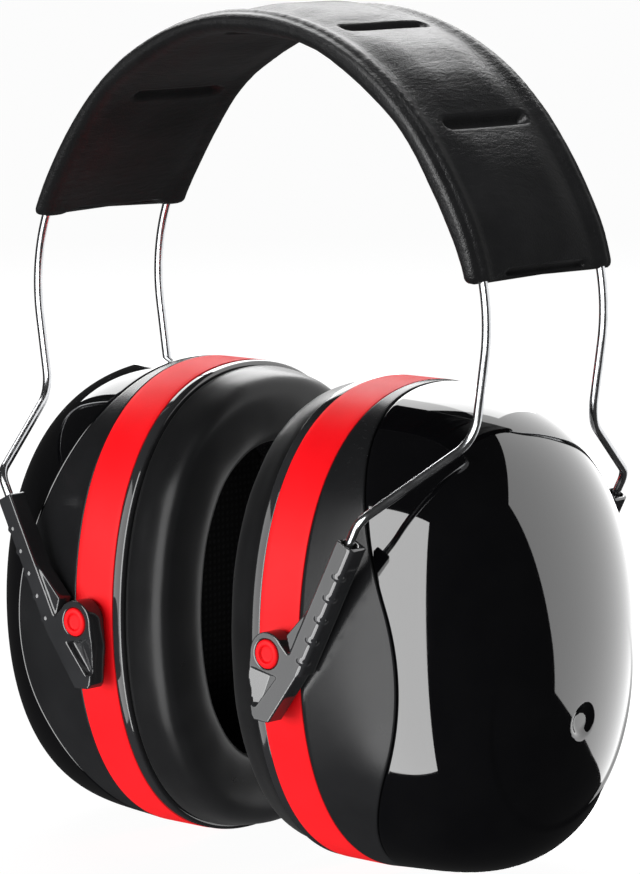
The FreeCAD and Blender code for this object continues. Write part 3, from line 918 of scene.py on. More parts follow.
@dataclass(frozen=True)
class OuterShell:
    """The blown shape of the cup outside the ring: satin skirt, curved seam and gloss cap."""

    oval: Oval = Oval()
    start: float = 33.9
    reach: float = 46.4
    bluntness: float = 3.89
    roundness: float = 2.0
    taper_across: float = 0.164
    taper_up: float = 0.064
    drop: float = 4.7
    seam_peak: float = 57.3
    seam_height: float = -5.0
    seam_radius: float = 45.0
    slope_above: float = math.radians(22)
    slope_below: float = math.radians(27)
    seam_guess: float = 0.4
    seam_tries: int = 40
    seam_pace: float = 0.6
    seam_gap: float = 0.16
    seam_round: float = 0.45
    seam_depth: float = 1.3
    foot_share: float = 0.006
    foot_lift: float = 0.06
    foot_insets: tuple[float, float, float] = (0.12, 0.32, 1.6)
    dimple_across: float = -1.1
    dimple_height: float = -15.5
    dimple_radius: float = 4.0
    dimple_depth: float = 1.0
    dish_across: float = -2.0
    dish_height: float = -12.0
    dish_half_width: float = 23.0
    dish_half_height: float = 28.0
    dish_depth: float = 0.55
    around: int = 240
    rows: int = 132
    skirt_rows: int = 26
    lip_steps: int = 4
    fine: int = 240

    def blown(self, turn: float, share: float) -> Vector:
        """A point of the smooth shell.

        Args:
            turn: How far round it lies.
            share: How far out it lies, from 0 at the ring to 1 at the tip.

        Returns:
            The point.
        """
        closing = max(1 - share ** self.bluntness, 0.0) ** (1 / self.roundness)
        swell = 1 + self.oval.fullness * math.sin(2 * turn) ** 2 * closing
        width = self.oval.half_width * (1 - self.taper_across * share) * closing * swell
        height = self.oval.half_height * (1 - self.taper_up * share) * closing * swell
        return Vector((self.start + self.reach * share, width * math.cos(turn),
                       self.oval.lift - self.drop * share ** 2 + height * math.sin(turn)))

    def seam_across(self, height: float) -> float:
        """The seam's X at a height: an arc with a straight flank on each side."""
        rise = height - self.seam_height
        slope = self.slope_above if rise > 0 else self.slope_below
        flank = self.seam_radius * math.sin(slope)
        if abs(rise) <= flank:
            return self.seam_peak - self.seam_radius + math.sqrt(self.seam_radius ** 2 - rise ** 2)
        edge = self.seam_peak - self.seam_radius * (1 - math.cos(slope))
        return edge - (abs(rise) - flank) * math.tan(slope)

    def seam_share(self, turn: float) -> float:
        """How far out the seam lies at a turn."""
        share = self.seam_guess
        for _ in range(self.seam_tries):
            wanted = (self.seam_across(self.blown(turn, share).z) - self.start) / self.reach
            share += self.seam_pace * (wanted - share)
        return share

    def meridian(self, turn: float, first: float, last: float, count: int) -> Row:
        """Evenly spaced points of the smooth shell along one turn.

        Args:
            turn: How far round they lie.
            first: The share where they begin.
            last: The share where they end.
            count: How many there are.

        Returns:
            The points.
        """
        shares = [1 - (1 - first) * (1 - step / self.fine) ** 2 for step in range(self.fine + 1)]
        points = [self.blown(turn, min(share, last)) for share in shares]
        return [points[index].lerp(points[index + 1], share) for index, share in even_steps(points, count)]

    def pressed(self, point: Vector, normal: Vector) -> Vector:
        """Press the round dimple and the shallow dish into the cap.

        Args:
            point: A point of the smooth shell.
            normal: The way out there.

        Returns:
            The point, moved in.
        """
        away = math.hypot(point.y - self.dimple_across, point.z - self.dimple_height) / self.dimple_radius
        dimple = self.dimple_depth * (1 - smooth_step(0.5, 1.0, away))
        spread = math.hypot((point.y - self.dish_across) / self.dish_half_width,
                            (point.z - self.dish_height) / self.dish_half_height)
        fade = 1 - smooth_step(-24.0, 6.0, point.z)
        dish = self.dish_depth * (1 - smooth_step(0.968, 1.032, spread)) * fade
        return point - normal * (dimple + dish)

    def lip(self, edge: Vector, along: Vector, normal: Vector) -> Row:
        """Points that roll a shell's edge over into the seam.

        Args:
            edge: Where the smooth shells would meet.
            along: The way from the edge back into this shell.
            normal: The way out of the cup.

        Returns:
            The points, from the deepest to the start of the smooth shell.
        """
        root = edge + along * self.seam_gap
        row = [root - normal * self.seam_depth, root - normal * (self.seam_depth + self.seam_round) / 2]
        for step in range(self.lip_steps + 1):
            bend = math.pi / 2 * step / self.lip_steps
            row.append(root + along * self.seam_round * (1 - math.cos(bend))
                       - normal * self.seam_round * (1 - math.sin(bend)))
        return row

    def side_frame(self, turn: float, share: float) -> tuple[Vector, Vector]:
        """The way outwards along the shell, and the way out of it, at one place."""
        nudge = 1e-3
        along = (self.blown(turn, share + nudge) - self.blown(turn, share - nudge)).normalized()
        around = (self.blown(turn + nudge, share) - self.blown(turn - nudge, share)).normalized()
        return along, around.cross(along).normalized() * -1

    def rows_round(self, column: Callable[[float, float], Row]) -> list[Row]:
        """Rows of points round the shell.

        Args:
            column: Gives one turn's points, from its turn and its seam's share.

        Returns:
            The rows, the first one in the seam.
        """
        turns = [TAU * index / self.around for index in range(self.around)]
        return [list(row) for row in zip(*(column(turn, self.seam_share(turn)) for turn in turns))]

    def cap_column(self, turn: float, seam: float) -> Row:
        """The cap's points at one turn, from inside the seam to near the tip."""
        along, normal = self.side_frame(turn, seam)
        smooth = self.meridian(turn, seam, 1.0, self.rows + 1)
        return self.lip(smooth[0], along, outward(normal, smooth[0])) + smooth[2:-1]

    def cap(self) -> Skin:
        """The gloss cap, from the seam to the tip, with the dimple and the dish pressed in."""
        points, faces = lattice(self.rows_round(self.cap_column), last_pole=self.blown(0.0, 1.0))
        lip_count = (self.lip_steps + 3) * self.around
        pressed = [self.pressed(point, Vector((1, 0, 0))) for point in points[lip_count:]]
        return points[:lip_count] + pressed, faces

    def skirt_column(self, turn: float, seam: float) -> Row:
        """The skirt's points at one turn, from inside the seam to its foot on the ring."""
        along, normal = self.side_frame(turn, seam)
        edge = self.blown(turn, seam)
        row = self.lip(edge, -along, outward(normal, edge))
        near = (self.seam_gap + self.seam_round * 2.2) / self.reach
        for step in range(self.skirt_rows + 1):
            left = (seam - near) * (1 - step / self.skirt_rows)
            row.append(self.blown(turn, left + self.foot_share * step / self.skirt_rows))
        foot = self.blown(turn, 0.0)
        inwards = Vector((0, foot.y, foot.z - self.oval.lift)).normalized()
        first, second, third = self.foot_insets
        return row + [foot - inwards * first + Vector((self.foot_lift, 0, 0)), foot - inwards * second,
                      foot - inwards * third]

    def skirt(self) -> Skin:
        """The satin skirt, from the ring to the seam."""
        return lattice(self.rows_round(self.skirt_column))


def outward(normal: Vector, point: Vector) -> Vector:
    """A normal, turned to point away from the cup's middle line.

    Args:
        normal: The normal or its opposite.
        point: Where it stands.

    Returns:
        The normal that points outwards.
    """
    away = Vector((0.2, point.y, point.z))
    return normal if normal.dot(away) > 0 else -normal


@dataclass
class EarCup:
    """One ear cup: cap, skirt, ring, rim, cushion, cloth disc and the two pivot buttons."""

    shell: OuterShell = field(default_factory=OuterShell)
    oval: Oval = field(default_factory=Oval)
    ring_from: float = 22.4
    ring_to: float = 33.9
    ring_round: float = 0.16
    rim_from: float = 19.65
    rim_inset: float = 0.12
    cushion_around: int = 190
    cushion_profile: tuple[tuple[float, float], ...] = (
        (8.0, 19.4), (3.2, 19.5), (1.45, 19.45), (1.2, 18.6), (1.35, 17.2), (1.75, 15.4), (2.25, 13.4),
        (2.95, 11.7), (4.2, 10.35), (6.0, 9.62), (8.4, 9.38), (11.0, 9.4), (13.4, 9.62), (15.2, 10.0),
        (16.6, 10.5), (17.5, 11.2), (18.0, 12.3), (18.15, 14.0), (18.1, 16.6), (17.8, 18.9), (14.0, 19.4))
    cushion_wave: float = 0.16
    cushion_ripple: float = 0.07
    disc_inset: float = 17.0
    disc_lift: float = 0.1
    disc_dome: float = 0.7
    disc_sag: float = 0.25
    disc_rows: int = 30
    disc_around: int = 120
    pivot_at: float = 29.2
    stud_radius: float = 3.3
    shank_radius: float = 2.0
    shank_end: float = 43.4
    stud_around: int = 64
    arm_front: float = 48.5

    def band_skin(self, outline: Sequence[tuple[float, float]], count: int = 200) -> Skin:
        """A closed band round the oval.

        Args:
            outline: Its section as insets and X places, in order.
            count: How many steps go round.

        Returns:
            The skin.
        """
        return lattice([self.oval.ring(inset, across, count) for inset, across in outline], along=True)

    def ring_skin(self) -> Skin:
        """The red spacer ring: a broad plain band with softly rounded edges."""
        low, high, soft = self.ring_from + 0.04, self.ring_to - 0.06, self.ring_round
        bends = (0.0, 0.5, 1.0, math.pi / 2)
        outline = [(3.0, low), (soft * 2, low)]
        outline += [(soft * (1 - math.sin(bend)), low + soft * (1 - math.cos(bend))) for bend in bends]
        outline += [(0.0, low + (high - low) * step / 8) for step in range(1, 8)]
        outline += [(soft * (1 - math.cos(bend)), high - soft * (1 - math.sin(bend))) for bend in bends]
        outline += [(soft * 2, high), (3.0, high)]
        return self.band_skin(outline)

    def rim_skin(self) -> Skin:
        """The narrow glossy rim between the ring and the cushion."""
        low, high, inset = self.rim_from, self.ring_from, self.rim_inset
        return self.band_skin([
            (6.0, low + 0.05), (inset + 0.8, low + 0.05), (inset + 0.45, low + 0.09),
            (inset + 0.2, low + 0.2), (inset + 0.06, low + 0.38), (inset, low + 0.6),
            (inset - 0.02, (low + high) / 2), (inset, high - 0.22), (inset + 0.04, high - 0.11),
            (inset + 0.14, high - 0.05), (6.0, high - 0.03)])

    def cushion(self) -> bpy.types.Object:
        """The ear cushion: a fat soft ring, blown up from a slightly slack one."""
        piece = mesh_piece("cushion", self.band_skin(spline(self.cushion_profile, 56, True),
                                                  self.cushion_around))
        inflate(piece, held=lambda point: smooth_step(16.5, 18.8, point.x), pressure=3.0, frames=14,
                reach=0.55, stiffness=40.0)
        for vertex in piece.data.vertices:
            point = vertex.co / MM
            wave = noise.noise(point * 0.075 + Vector((4.1, 0.3, 7.7)))
            ripple = noise.noise(Vector((point.x * 0.25, point.y * 0.16, point.z * 0.16)))
            soft = 1 - smooth_step(15.5, 19.0, point.x)
            vertex.co += vertex.normal * MM * soft * (self.cushion_wave * wave + self.cushion_ripple * ripple)
        return piece

    def disc_skin(self) -> Skin:
        """The cloth disc behind the cushion's opening, slightly domed over its foam."""
        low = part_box("right_acoustic_mesh")[0].x / MM + self.disc_lift
        rims = self.oval.ring(self.disc_inset, 0, self.disc_around)
        rows = []
        for step in range(1, self.disc_rows + 1):
            share = step / self.disc_rows
            row = []
            for rim in rims:
                sag = self.disc_dome * share ** 2
                sag += self.disc_sag * noise.noise(Vector((rim.y, rim.z, 0)) * 0.09 * share)
                row.append(Vector((low + sag * (1 - (1 - share) * 0.3), rim.y * share,
                                   self.oval.lift + (rim.z - self.oval.lift) * share)))
            rows.append(row)
        rows.append([point + Vector((self.disc_dome, 0, 0)) for point in rows[-1]])
        return lattice(rows, first_pole=Vector((low, 0, self.oval.lift)))

    def stud_skin(self) -> Skin:
        """A pivot button: a domed head with a concentric dish, on its shank, turned about Y."""
        head, face = self.stud_radius - 0.06, self.arm_front + 0.25
        under, shank = face - 1.6, self.shank_radius
        profile = [(shank, self.shank_end), (shank, under), (head, under), (head, face - 0.55),
                   (head - 0.05, face - 0.32), (head - 0.2, face - 0.12), (head - 0.45, face - 0.02),
                   (head - 0.8, face + 0.02), (2.25, face + 0.04), (2.05, face + 0.0), (1.93, face - 0.12),
                   (1.85, face - 0.38), (1.72, face - 0.52)]
        profile += [(radius, face - 0.56) for radius in (1.5, 0.9, 0.4)]
        turns = [TAU * index / self.stud_around for index in range(self.stud_around)]
        rows = [[Vector((self.pivot_at + radius * math.cos(turn), -out, radius * math.sin(turn)))
                 for turn in turns] for radius, out in profile]
        return lattice(rows, last_pole=Vector((self.pivot_at, -(face - 0.56), 0)))

    def build(self, paint: Paint) -> None:
        """Make the right cup's pieces, and mirror them for the left cup.

        Args:
            paint: The finishes.
        """
        rights = [
            (mesh_piece("cap", self.shell.cap()), "outer_cap", Coat.GLOSS, None),
            (mesh_piece("skirt", self.shell.skirt()), "cup_skirt", Coat.SATIN, None),
            (mesh_piece("ring", self.ring_skin()), "spacer_ring", Coat.RED, None),
            (mesh_piece("rim", self.rim_skin()), "rim_frame", Coat.RIM, None),
            (self.cushion(), "cushion_cover cushion_foam", Coat.SKIN, 0.9),
            (mesh_piece("cloth_disc", self.disc_skin()), "acoustic_mesh", Coat.MESH, 0.5),
        ]
        stud = mesh_piece("button", self.stud_skin())
        for side in Side:
            body = f"{side.word}_cup"
            for source, node, coat, fill in rights:
                piece = mirrored(source, f"{side.word}_{source.name}", (side, 1, 1))
                finish_piece(piece, paint, coat, body, [f"{side.word}_{word}" for word in node.split()])
            for depth in Depth:
                piece = mirrored(stud, f"{side.word}_{depth.word}_button", (side, -depth, 1))
                finish_piece(piece, paint, Coat.RED, body, [f"{side.word}_{depth.word}_stud"])
        for source in [row[0] for row in rights] + [stud]:
            bpy.data.objects.remove(source)


# ---- arms


@dataclass
class Fork:
    """The four moulded arms: the solid's shape with the soft edges that a mould leaves."""

    voxel: float = 0.26
    smoothing: int = 5

    def build(self, paint: Paint, nodes: dict[str, bpy.types.Object]) -> None:
        """Round the right front arm's edges, and mirror it to the other three places.

        Args:
            paint: The finishes.
            nodes: The frame's nodes.
        """
        source = link("arm", nodes["right_front_arm"].data.copy())
        remesh = source.modifiers.new("Skin", "REMESH")
        remesh.mode = "VOXEL"
        remesh.voxel_size = self.voxel * MM
        relax = source.modifiers.new("Relax", "SMOOTH")
        relax.factor = 0.5
        relax.iterations = self.smoothing
        settle(source)
        for side in Side:
            for depth in Depth:
                body = f"{side.word}_{depth.word}_arm"
                piece = mirrored(source, f"{body}_moulding", (side, -depth, 1))
                finish_piece(piece, paint, Coat.ARM, body, [body])
        bpy.data.objects.remove(source)


# ---- headband


@dataclass(frozen=True)
class Arch:
    """The line of the band over the head: a crown arc, two shoulder arcs and two side arcs."""

    crown_height: float = 135.7
    radii: tuple[float, float, float] = (64.6, 98.8, 47.8)
    turns: tuple[float, float, float] = (math.radians(49.3), math.radians(63.6), math.radians(98.6))
    fine: int = 2000

    def at(self, turn: float, offset: float = 0.0) -> Vector:
        """A point of the arch.

        Args:
            turn: The way out of the arch there, from the vertical; to the left it is negative.
            offset: How far outside the wires' line it lies.

        Returns:
            The point, at depth 0.
        """
        centre = Vector((0, 0, self.crown_height - self.radii[0]))
        radius = self.radii[0]
        for number in (1, 2):
            start = self.turns[number - 1]
            if abs(turn) > start:
                centre += Vector((math.sin(start), 0, math.cos(start))) * (radius - self.radii[number])
                radius = self.radii[number]
        point = centre + Vector((math.sin(abs(turn)), 0, math.cos(turn))) * (radius + offset)
        return Vector((math.copysign(point.x, turn), 0, point.z))

    def even_turns(self, first: float, last: float, count: int) -> list[float]:
        """Turns at even distances along the arch.

        Args:
            first: The first turn.
            last: The last turn.
            count: How many there are.

        Returns:
            The turns.
        """
        turns = [first + (last - first) * step / self.fine for step in range(self.fine + 1)]
        places = even_steps([self.at(turn) for turn in turns], count)
        return [turns[index] + (turns[index + 1] - turns[index]) * share for index, share in places]


@dataclass
class SpringWire:
    """A round spring wire from arm to arm, over the crown."""

    arch: Arch
    radius: float = 1.0
    depth: float = 20.4
    leg_depth: float = 46.5
    bend_height: float = 46.9
    lower_bend: tuple[float, float] = (54.0, 31.3)
    bend_radii: tuple[float, float] = (9.0, 5.0)
    leg_slope: float = math.radians(27.5)
    leg_length: float = 32.5
    crown_steps: int = 160
    bend_steps: int = 12
    sides: int = 24

    def rounded(self, points: Row, radii: Sequence[float]) -> Row:
        """Straight runs with an arc at each corner.

        Args:
            points: The ends and the corners.
            radii: The radius of each corner's arc.

        Returns:
            Points along the line.
        """
        path = [points[0]]
        for before, corner, after, radius in zip(points, points[1:], points[2:], radii):
            arriving, leaving = (corner - before).normalized(), (after - corner).normalized()
            turn = arriving.angle(leaving)
            enter = corner - arriving * radius * math.tan(turn / 2)
            across = (leaving - arriving * arriving.dot(leaving)).normalized()
            for step in range(self.bend_steps + 1):
                bend = turn * step / self.bend_steps
                path.append(enter + arriving * radius * math.sin(bend)
                            + across * radius * (1 - math.cos(bend)))
        return path + [points[-1]]

    def path(self) -> Row:
        """The wire's middle line, on the rear side."""
        last = self.arch.turns[2]
        end = self.arch.at(last)
        lean = math.tan(last - math.pi / 2)
        upper = Vector((end.x - (end.z - self.bend_height) * lean, self.depth, self.bend_height))
        lower = Vector((self.lower_bend[0], self.leg_depth, self.lower_bend[1]))
        tail = lower - Vector((math.sin(self.leg_slope), 0, math.cos(self.leg_slope))) * self.leg_length
        end.y = self.depth
        side = self.rounded([end, upper, lower, tail], self.bend_radii)
        turns = self.arch.even_turns(-last, last, self.crown_steps)
        crown = [self.arch.at(turn) + Vector((0, self.depth, 0)) for turn in turns]
        left = [Vector((-point.x, point.y, point.z)) for point in reversed(side)]
        return left[:-1] + crown + side[1:]

    def skin(self) -> Skin:
        """A tube along the line, with rounded ends."""
        path = self.path()
        rows, normal = [], Vector((0, 1, 0))
        for index, point in enumerate(path):
            along = (path[min(index + 1, len(path) - 1)] - path[max(index - 1, 0)]).normalized()
            normal = (normal - along * normal.dot(along)).normalized()
            other = along.cross(normal)
            rows.append([point + (normal * math.cos(TAU * step / self.sides)
                                  + other * math.sin(TAU * step / self.sides)) * self.radius
                         for step in range(self.sides)])
        return lattice(rows, first_pole=path[0], last_pole=path[-1])


@dataclass
class HeadbandPad:
    """The padded sleeve over the wires: rolled sides, pillows and pressed slots."""

    arch: Arch
    first: float = math.radians(4.8 - 73.9)
    last: float = math.radians(4.8 + 73.9)
    end_round: float = math.radians(2.2)
    end_pull: float = math.radians(1.1)
    corner_round: float = 0.075
    wire_depth: float = 20.4
    slots: tuple[float, ...] = (-69.1, -42.9, -12.1, 18.7, 49.5, 78.7)
    slot_middle: float = 0.8
    slot_half_length: float = 14.0
    slot_half_width: float = 1.35
    slot_depth_above: float = 2.3
    slot_depth_below: float = 1.6
    dip: float = 0.5
    plump_above: float = 0.95
    plump_below: float = 1.7
    half_section: tuple[tuple[float, float], ...] = (
        (0.0, 1.75), (6.0, 1.75), (10.0, 1.7), (13.2, 1.5), (15.6, 1.2), (17.3, 1.05), (18.7, 1.3),
        (20.2, 1.7), (21.3, 1.55), (22.2, 1.1), (22.9, 0.95), (23.7, 0.75), (24.4, 0.1), (24.6, -0.8),
        (24.3, -1.7), (23.4, -2.5), (22.0, -2.95), (20.0, -3.0), (17.5, -2.8), (13.5, -2.8), (8.0, -2.9),
        (0.0, -2.95))
    upper_from: float = -0.8
    panel: tuple[float, float] = (7.0, 17.5)
    underside: tuple[float, float] = (10.0, 24.0)
    pulled: tuple[float, float] = (14.0, 18.5)
    pucker_height: float = 0.09
    slack_height: float = 0.14
    held_from: float = 17.5
    along: int = 420
    across: int = 168

    def section(self) -> list[tuple[float, float]]:
        """The pad's section: depth along Y and height over the wires, once round."""
        rear = spline(self.half_section, self.across // 2 + 1, False)
        return rear[:-1] + [(-depth, height) for depth, height in reversed(rear)][:-1]

    def slot_press(self, turn: float, depth: float) -> float:
        """How far a slot is pressed in at a place, from 0 to 1.

        Args:
            turn: The place's turn along the arch.
            depth: The place's Y.

        Returns:
            The press.
        """
        away = self.slot_distance(turn)
        beyond = max(abs(depth - self.slot_middle) - (self.slot_half_length - self.slot_half_width), 0.0)
        return 1 - smooth_step(0.3, 1.55, math.hypot(away, beyond) / self.slot_half_width)

    def slot_distance(self, turn: float) -> float:
        """How far along the arch the nearest slot is, in millimetres."""
        return min((self.arch.at(turn) - self.arch.at(math.radians(slot))).length for slot in self.slots)

    def skin(self) -> Skin:
        """The whole sleeve with its closed ends."""
        rows = []
        section = self.section()
        for turn in self.arch.even_turns(self.first, self.last, self.along):
            away = self.slot_distance(turn)
            end = min(turn - self.first, self.last - turn)
            close = 0.25 + 0.75 * math.sqrt(max(1 - (1 - min(end / self.end_round, 1)) ** 2, 0))
            pull = math.copysign(self.end_pull * (1 - smooth_step(0.0, 0.1, end)), -turn)
            pillow = smooth_step(0.5, 15.0, away)
            row = []
            for depth, height in section:
                upper = height > self.upper_from
                panel = 1 - smooth_step(*self.panel, abs(depth))
                press = self.slot_press(turn, depth)
                if upper:
                    height += (self.plump_above * pillow - self.dip * bump(0.0, 6.5, away)) * panel
                    height -= press * self.slot_depth_above
                else:
                    broad = 1 - 0.7 * smooth_step(*self.underside, abs(depth))
                    height += press * self.slot_depth_below - self.plump_below * pillow * broad
                height += self.wrinkle(turn, depth, upper)
                pull_here = pull * (1 - smooth_step(*self.pulled, abs(depth)))
                place = self.arch.at(turn + pull_here, height * close)
                row.append(place + Vector((0, depth * (1 - self.corner_round * (1 - close)), 0)))
            rows.append(row)
        middle = [sum(row, Vector()) / len(row) for row in (rows[0], rows[-1])]
        return lattice(rows, first_pole=middle[0], last_pole=middle[1])

    def wrinkle(self, turn: float, depth: float, upper: bool) -> float:
        """Fine puckers across the rolls and slack creases across the panel.

        Args:
            turn: The place's turn along the arch.
            depth: The place's Y.
            upper: Whether it lies on the upper side.

        Returns:
            A height to add, in millimetres.
        """
        run = turn * 80
        side = 1.0 if depth > 0 else 2.0
        roll = bump(self.wire_depth + 0.8, 4.2, abs(depth))
        pucker = noise.noise(Vector((run * 0.55, depth * 0.16, side * 9 + upper)))
        pucker += 0.6 * noise.noise(Vector((run * 1.0, depth * 0.3, side * 5 + upper)))
        slack = noise.noise(Vector((run * 0.12, depth * 0.07, 3.0 + upper)))
        return self.pucker_height * roll * pucker + self.slack_height * slack * (1 - roll)

    def build(self) -> bpy.types.Object:
        """The sleeve, plumped up by a short cloth simulation."""
        piece = mesh_piece("headband_sleeve", self.skin())
        inflate(piece, held=self.held, pressure=1.6, frames=8, reach=0.35, stiffness=30.0)
        return piece

    def held(self, point: Vector) -> float:
        """How firmly the sleeve is held at a place: at its slots and its rolled sides."""
        if abs(point.y) > self.held_from:
            return 1.0
        line = Vector((point.x, 0, point.z))
        near = min((self.arch.at(math.radians(slot)) - line).length for slot in self.slots)
        ends = min((self.arch.at(turn) - line).length for turn in (self.first, self.last))
        slot = 1 - smooth_step(3.4, 5.0, near) if abs(point.y) < self.slot_half_length + 1.5 else 0.0
        return max(slot, 1 - smooth_step(2.0, 5.0, ends))


@dataclass
class Headband:
    """The band: two spring wires in one padded sleeve."""

    arch: Arch = field(default_factory=Arch)

    def build(self, paint: Paint) -> None:
        """Make the band's pieces.

        Args:
            paint: The finishes.
        """
        rear = mesh_piece("rear_spring", SpringWire(self.arch).skin())
        front = mirrored(rear, "front_spring", (1, -1, 1))
        finish_piece(front, paint, Coat.STEEL, "headband", ["front_wire"])
        finish_piece(rear, paint, Coat.STEEL, "headband", ["rear_wire"])
        sleeve = HeadbandPad(self.arch).build()
        finish_piece(sleeve, paint, Coat.LEATHER, "headband",
                     ["pad_outer_cover", "pad_inner_cover", "pad_foam"])


# ---- hidden solids


HIDDEN_COATS = {"inner_cup": Coat.SATIN, "liner_foam": Coat.FOAM, "cushion_plate": Coat.SATIN}


def dress_hidden(paint: Paint, nodes: dict[str, bpy.types.Object]) -> None:
    """Finish the carried-over solids inside the cups.

    Args:
        paint: The finishes.
        nodes: The frame's nodes.
    """
    for side in Side:
        for word, coat in HIDDEN_COATS.items():
            paint.apply(nodes[f"{side.word}_{word}"], coat)


# ---- studio


@dataclass(frozen=True)
class Lamp:
    """A soft rectangular light that faces the earmuff.

    Attributes:
        name: Its name.
        azimuth: Its compass direction from the origin, in degrees from +X towards +Y.
        elevation: Its height above the horizon, in degrees.
        distance: How far off it hangs, in metres.
        size: Its width and height, in metres.
        glow: How bright its face is.
        coats: The finishes that it lights, or none for all of them.
        spared: The start of the names of pieces that it passes by, if any.
    """

    name: str
    azimuth: float
    elevation: float
    distance: float
    size: tuple[float, float]
    glow: float
    coats: tuple[Coat, ...] = ()
    spared: str = ""

    def hang(self) -> None:
        """Put the light in the scene."""
        data = bpy.data.lights.new(self.name, "AREA")
        data.shape = "RECTANGLE"
        data.size, data.size_y = self.size
        data.energy = self.glow * math.pi * self.size[0] * self.size[1]
        lamp = bpy.data.objects.new(self.name, data)
        bpy.context.collection.objects.link(lamp)
        flat, rise = math.radians(self.azimuth), math.radians(self.elevation)
        away = Vector((math.cos(flat) * math.cos(rise), math.sin(flat) * math.cos(rise), math.sin(rise)))
        lamp.location = away * self.distance
        lamp.rotation_euler = (-away).to_track_quat("-Z", "Y").to_euler()
        lamp.visible_camera = False
        if self.coats:
            lamp.light_linking.receiver_collection = self.lit_pieces()

    def lit_pieces(self) -> bpy.types.Collection:
        """Gather the pieces that this light falls on."""
        wanted = [coat.value for coat in self.coats]
        lit = bpy.data.collections.new(f"lit_by_{self.name}")
        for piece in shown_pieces():
            spared = self.spared and piece.name.startswith(self.spared)
            if piece.get("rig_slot") in wanted and not spared:
                lit.objects.link(piece)
        return lit


BRIGHT = (Coat.GLOSS, Coat.RIM, Coat.ARM)
LAMPS = (
    Lamp("side_panel", 80.0, 18.0, 1.0, (3.2, 1.9), 3.4, BRIGHT),
    Lamp("side_glow", 80.0, 18.0, 1.0, (3.2, 1.9), 1.0, (Coat.SKIN, Coat.STEEL)),
    Lamp("front_strip", -87.0, -2.5, 1.0, (0.86, 1.76), 9.6, BRIGHT),
    Lamp("front_glow", -87.0, -2.5, 1.0, (0.86, 1.76), 2.8, (Coat.SATIN, Coat.STEEL)),
    Lamp("cushion_glow", -68.0, -2.5, 1.0, (0.8, 1.76), 3.0, (Coat.SKIN,)),
    Lamp("back_panel", 135.0, 40.0, 1.1, (1.0, 0.7), 5.0),
    Lamp("ring_key", -115.0, 6.0, 1.2, (0.8, 0.8), 8.0, (Coat.RED,)),
    Lamp("arm_key", -127.0, -5.0, 1.2, (1.1, 1.4), 3.1, (Coat.ARM, Coat.RIM), "left_front_arm"),
    Lamp("ring_fill", 10.0, 58.0, 1.0, (1.1, 0.9), 2.6, (Coat.RED,)),
    Lamp("pad_glow", -62.0, 42.0, 1.2, (0.8, 1.1), 8.0, (Coat.LEATHER,)),
    Lamp("pad_side_glow", -110.0, 8.0, 1.2, (0.8, 0.5), 2.0, (Coat.LEATHER,)),
    Lamp("wire_glow", -48.0, 10.0, 1.2, (0.35, 0.9), 6.0, (Coat.STEEL,)),
)


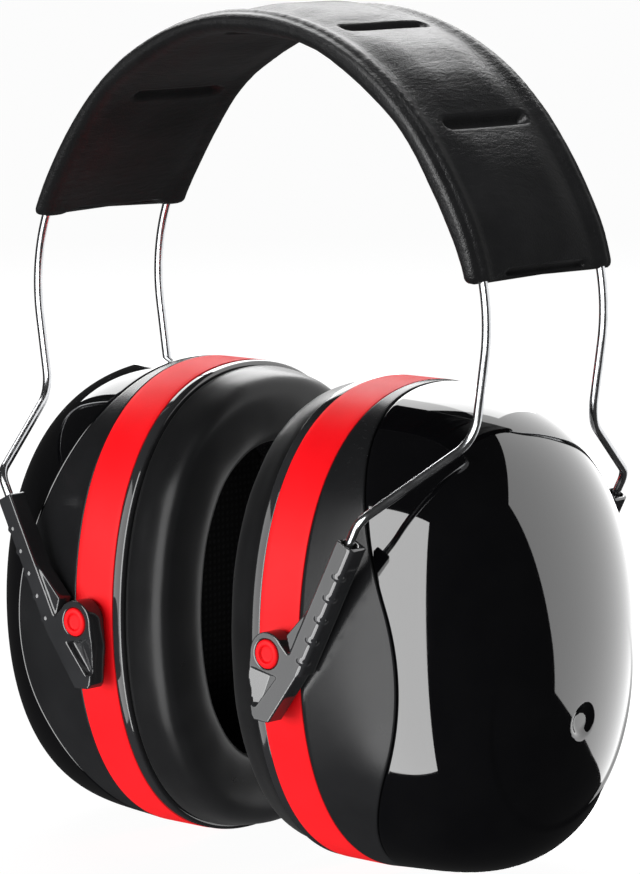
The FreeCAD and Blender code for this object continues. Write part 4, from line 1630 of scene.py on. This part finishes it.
@dataclass
class Studio:
    """The plain floor, the soft lights and the camera."""

    azimuth: float = 41.442
    elevation: float = 8.101
    roll: float = -0.235
    eye: tuple[float, float, float] = (629.33, -711.08, 174.62)
    lens: float = 173.2
    shift: tuple[float, float] = (0.00261, 0.0003)
    floor_height: float = -54.5
    floor_reach: float = 30000.0
    floor_glow: float = 0.97

    def camera(self) -> None:
        """Place the camera and make it the scene's own."""
        data = bpy.data.cameras.new("view_camera")
        data.lens = self.lens
        data.sensor_fit = "VERTICAL"
        data.sensor_height = 36.0
        data.shift_x, data.shift_y = self.shift
        data.clip_start, data.clip_end = 0.01, 50
        camera = bpy.data.objects.new("view_camera", data)
        bpy.context.collection.objects.link(camera)
        turn = Euler((math.radians(90 - self.elevation), 0, math.radians(self.azimuth)), "XYZ").to_matrix()
        turn = turn @ Matrix.Rotation(math.radians(self.roll), 3, "Z")
        camera.matrix_world = Matrix.Translation(Vector(self.eye) * MM) @ turn.to_4x4()
        bpy.context.scene.camera = camera

    def floor(self) -> None:
        """Lay a broad pale floor under the cups."""
        rows = [[Vector((x * self.floor_reach, y * self.floor_reach, self.floor_height)) for x in (-1, 1)]
                for y in (-1, 1)]
        floor = mesh_piece("floor", lattice(rows, around=False))
        material = bpy.data.materials.new("pale_floor")
        material.use_nodes = True
        shader = material.node_tree.nodes["Principled BSDF"]
        for name, value in (("Roughness", 0.9), ("Specular IOR Level", 0.0), ("Emission Color", (1, 1, 1, 1)),
                            ("Emission Strength", self.floor_glow)):
            shader.inputs[name].default_value = value
        place = add_node(material.node_tree, "TexCoord").outputs["Object"]
        tone = add_node(material.node_tree, "TexNoise", {"Vector": place, "Scale": 3.0, "Detail": 3.0})
        shade = add_ramp(material.node_tree, tone.outputs["Fac"], [(0.0, grey(0.10)), (1.0, grey(0.12))])
        material.node_tree.links.new(shade, shader.inputs["Base Color"])
        floor.data.materials.append(material)
        floor.visible_glossy = False
        floor.visible_shadow = False
        floor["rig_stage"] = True

    def world(self) -> None:
        """White to the eye, and dim grey in reflections."""
        world = bpy.data.worlds.new("studio_world")
        bpy.context.scene.world = world
        world.use_nodes = True
        tree = world.node_tree
        tree.nodes.clear()
        ray = add_node(tree, "LightPath")
        seen = add_node(tree, "Background", {"Color": (1, 1, 1, 1), "Strength": 1.05})
        around = add_node(tree, "Background", {"Color": (1, 1, 1, 1), "Strength": 0.03})
        mixed = add_node(tree, "MixShader", {0: ray.outputs["Is Camera Ray"], 1: around.outputs[0],
                                             2: seen.outputs[0]})
        out = add_node(tree, "OutputWorld")
        tree.links.new(mixed.outputs[0], out.inputs["Surface"])

    def build(self) -> None:
        """Set up the whole studio."""
        self.camera()
        self.world()
        self.floor()
        for lamp in LAMPS:
            lamp.hang()
        bpy.context.scene.view_settings.view_transform = "Standard"


def main() -> None:
    """Build the earmuff's looks round its frame."""
    logging.basicConfig(level=logging.INFO, format="%(name)s %(message)s")
    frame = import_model()
    nodes = frame["nodes"]
    paint = Paint()
    EarCup().build(paint)
    Fork().build(paint, nodes)
    Headband().build(paint)
    dress_hidden(paint, nodes)
    Studio().build()


if __name__ == "__main__":
    main()
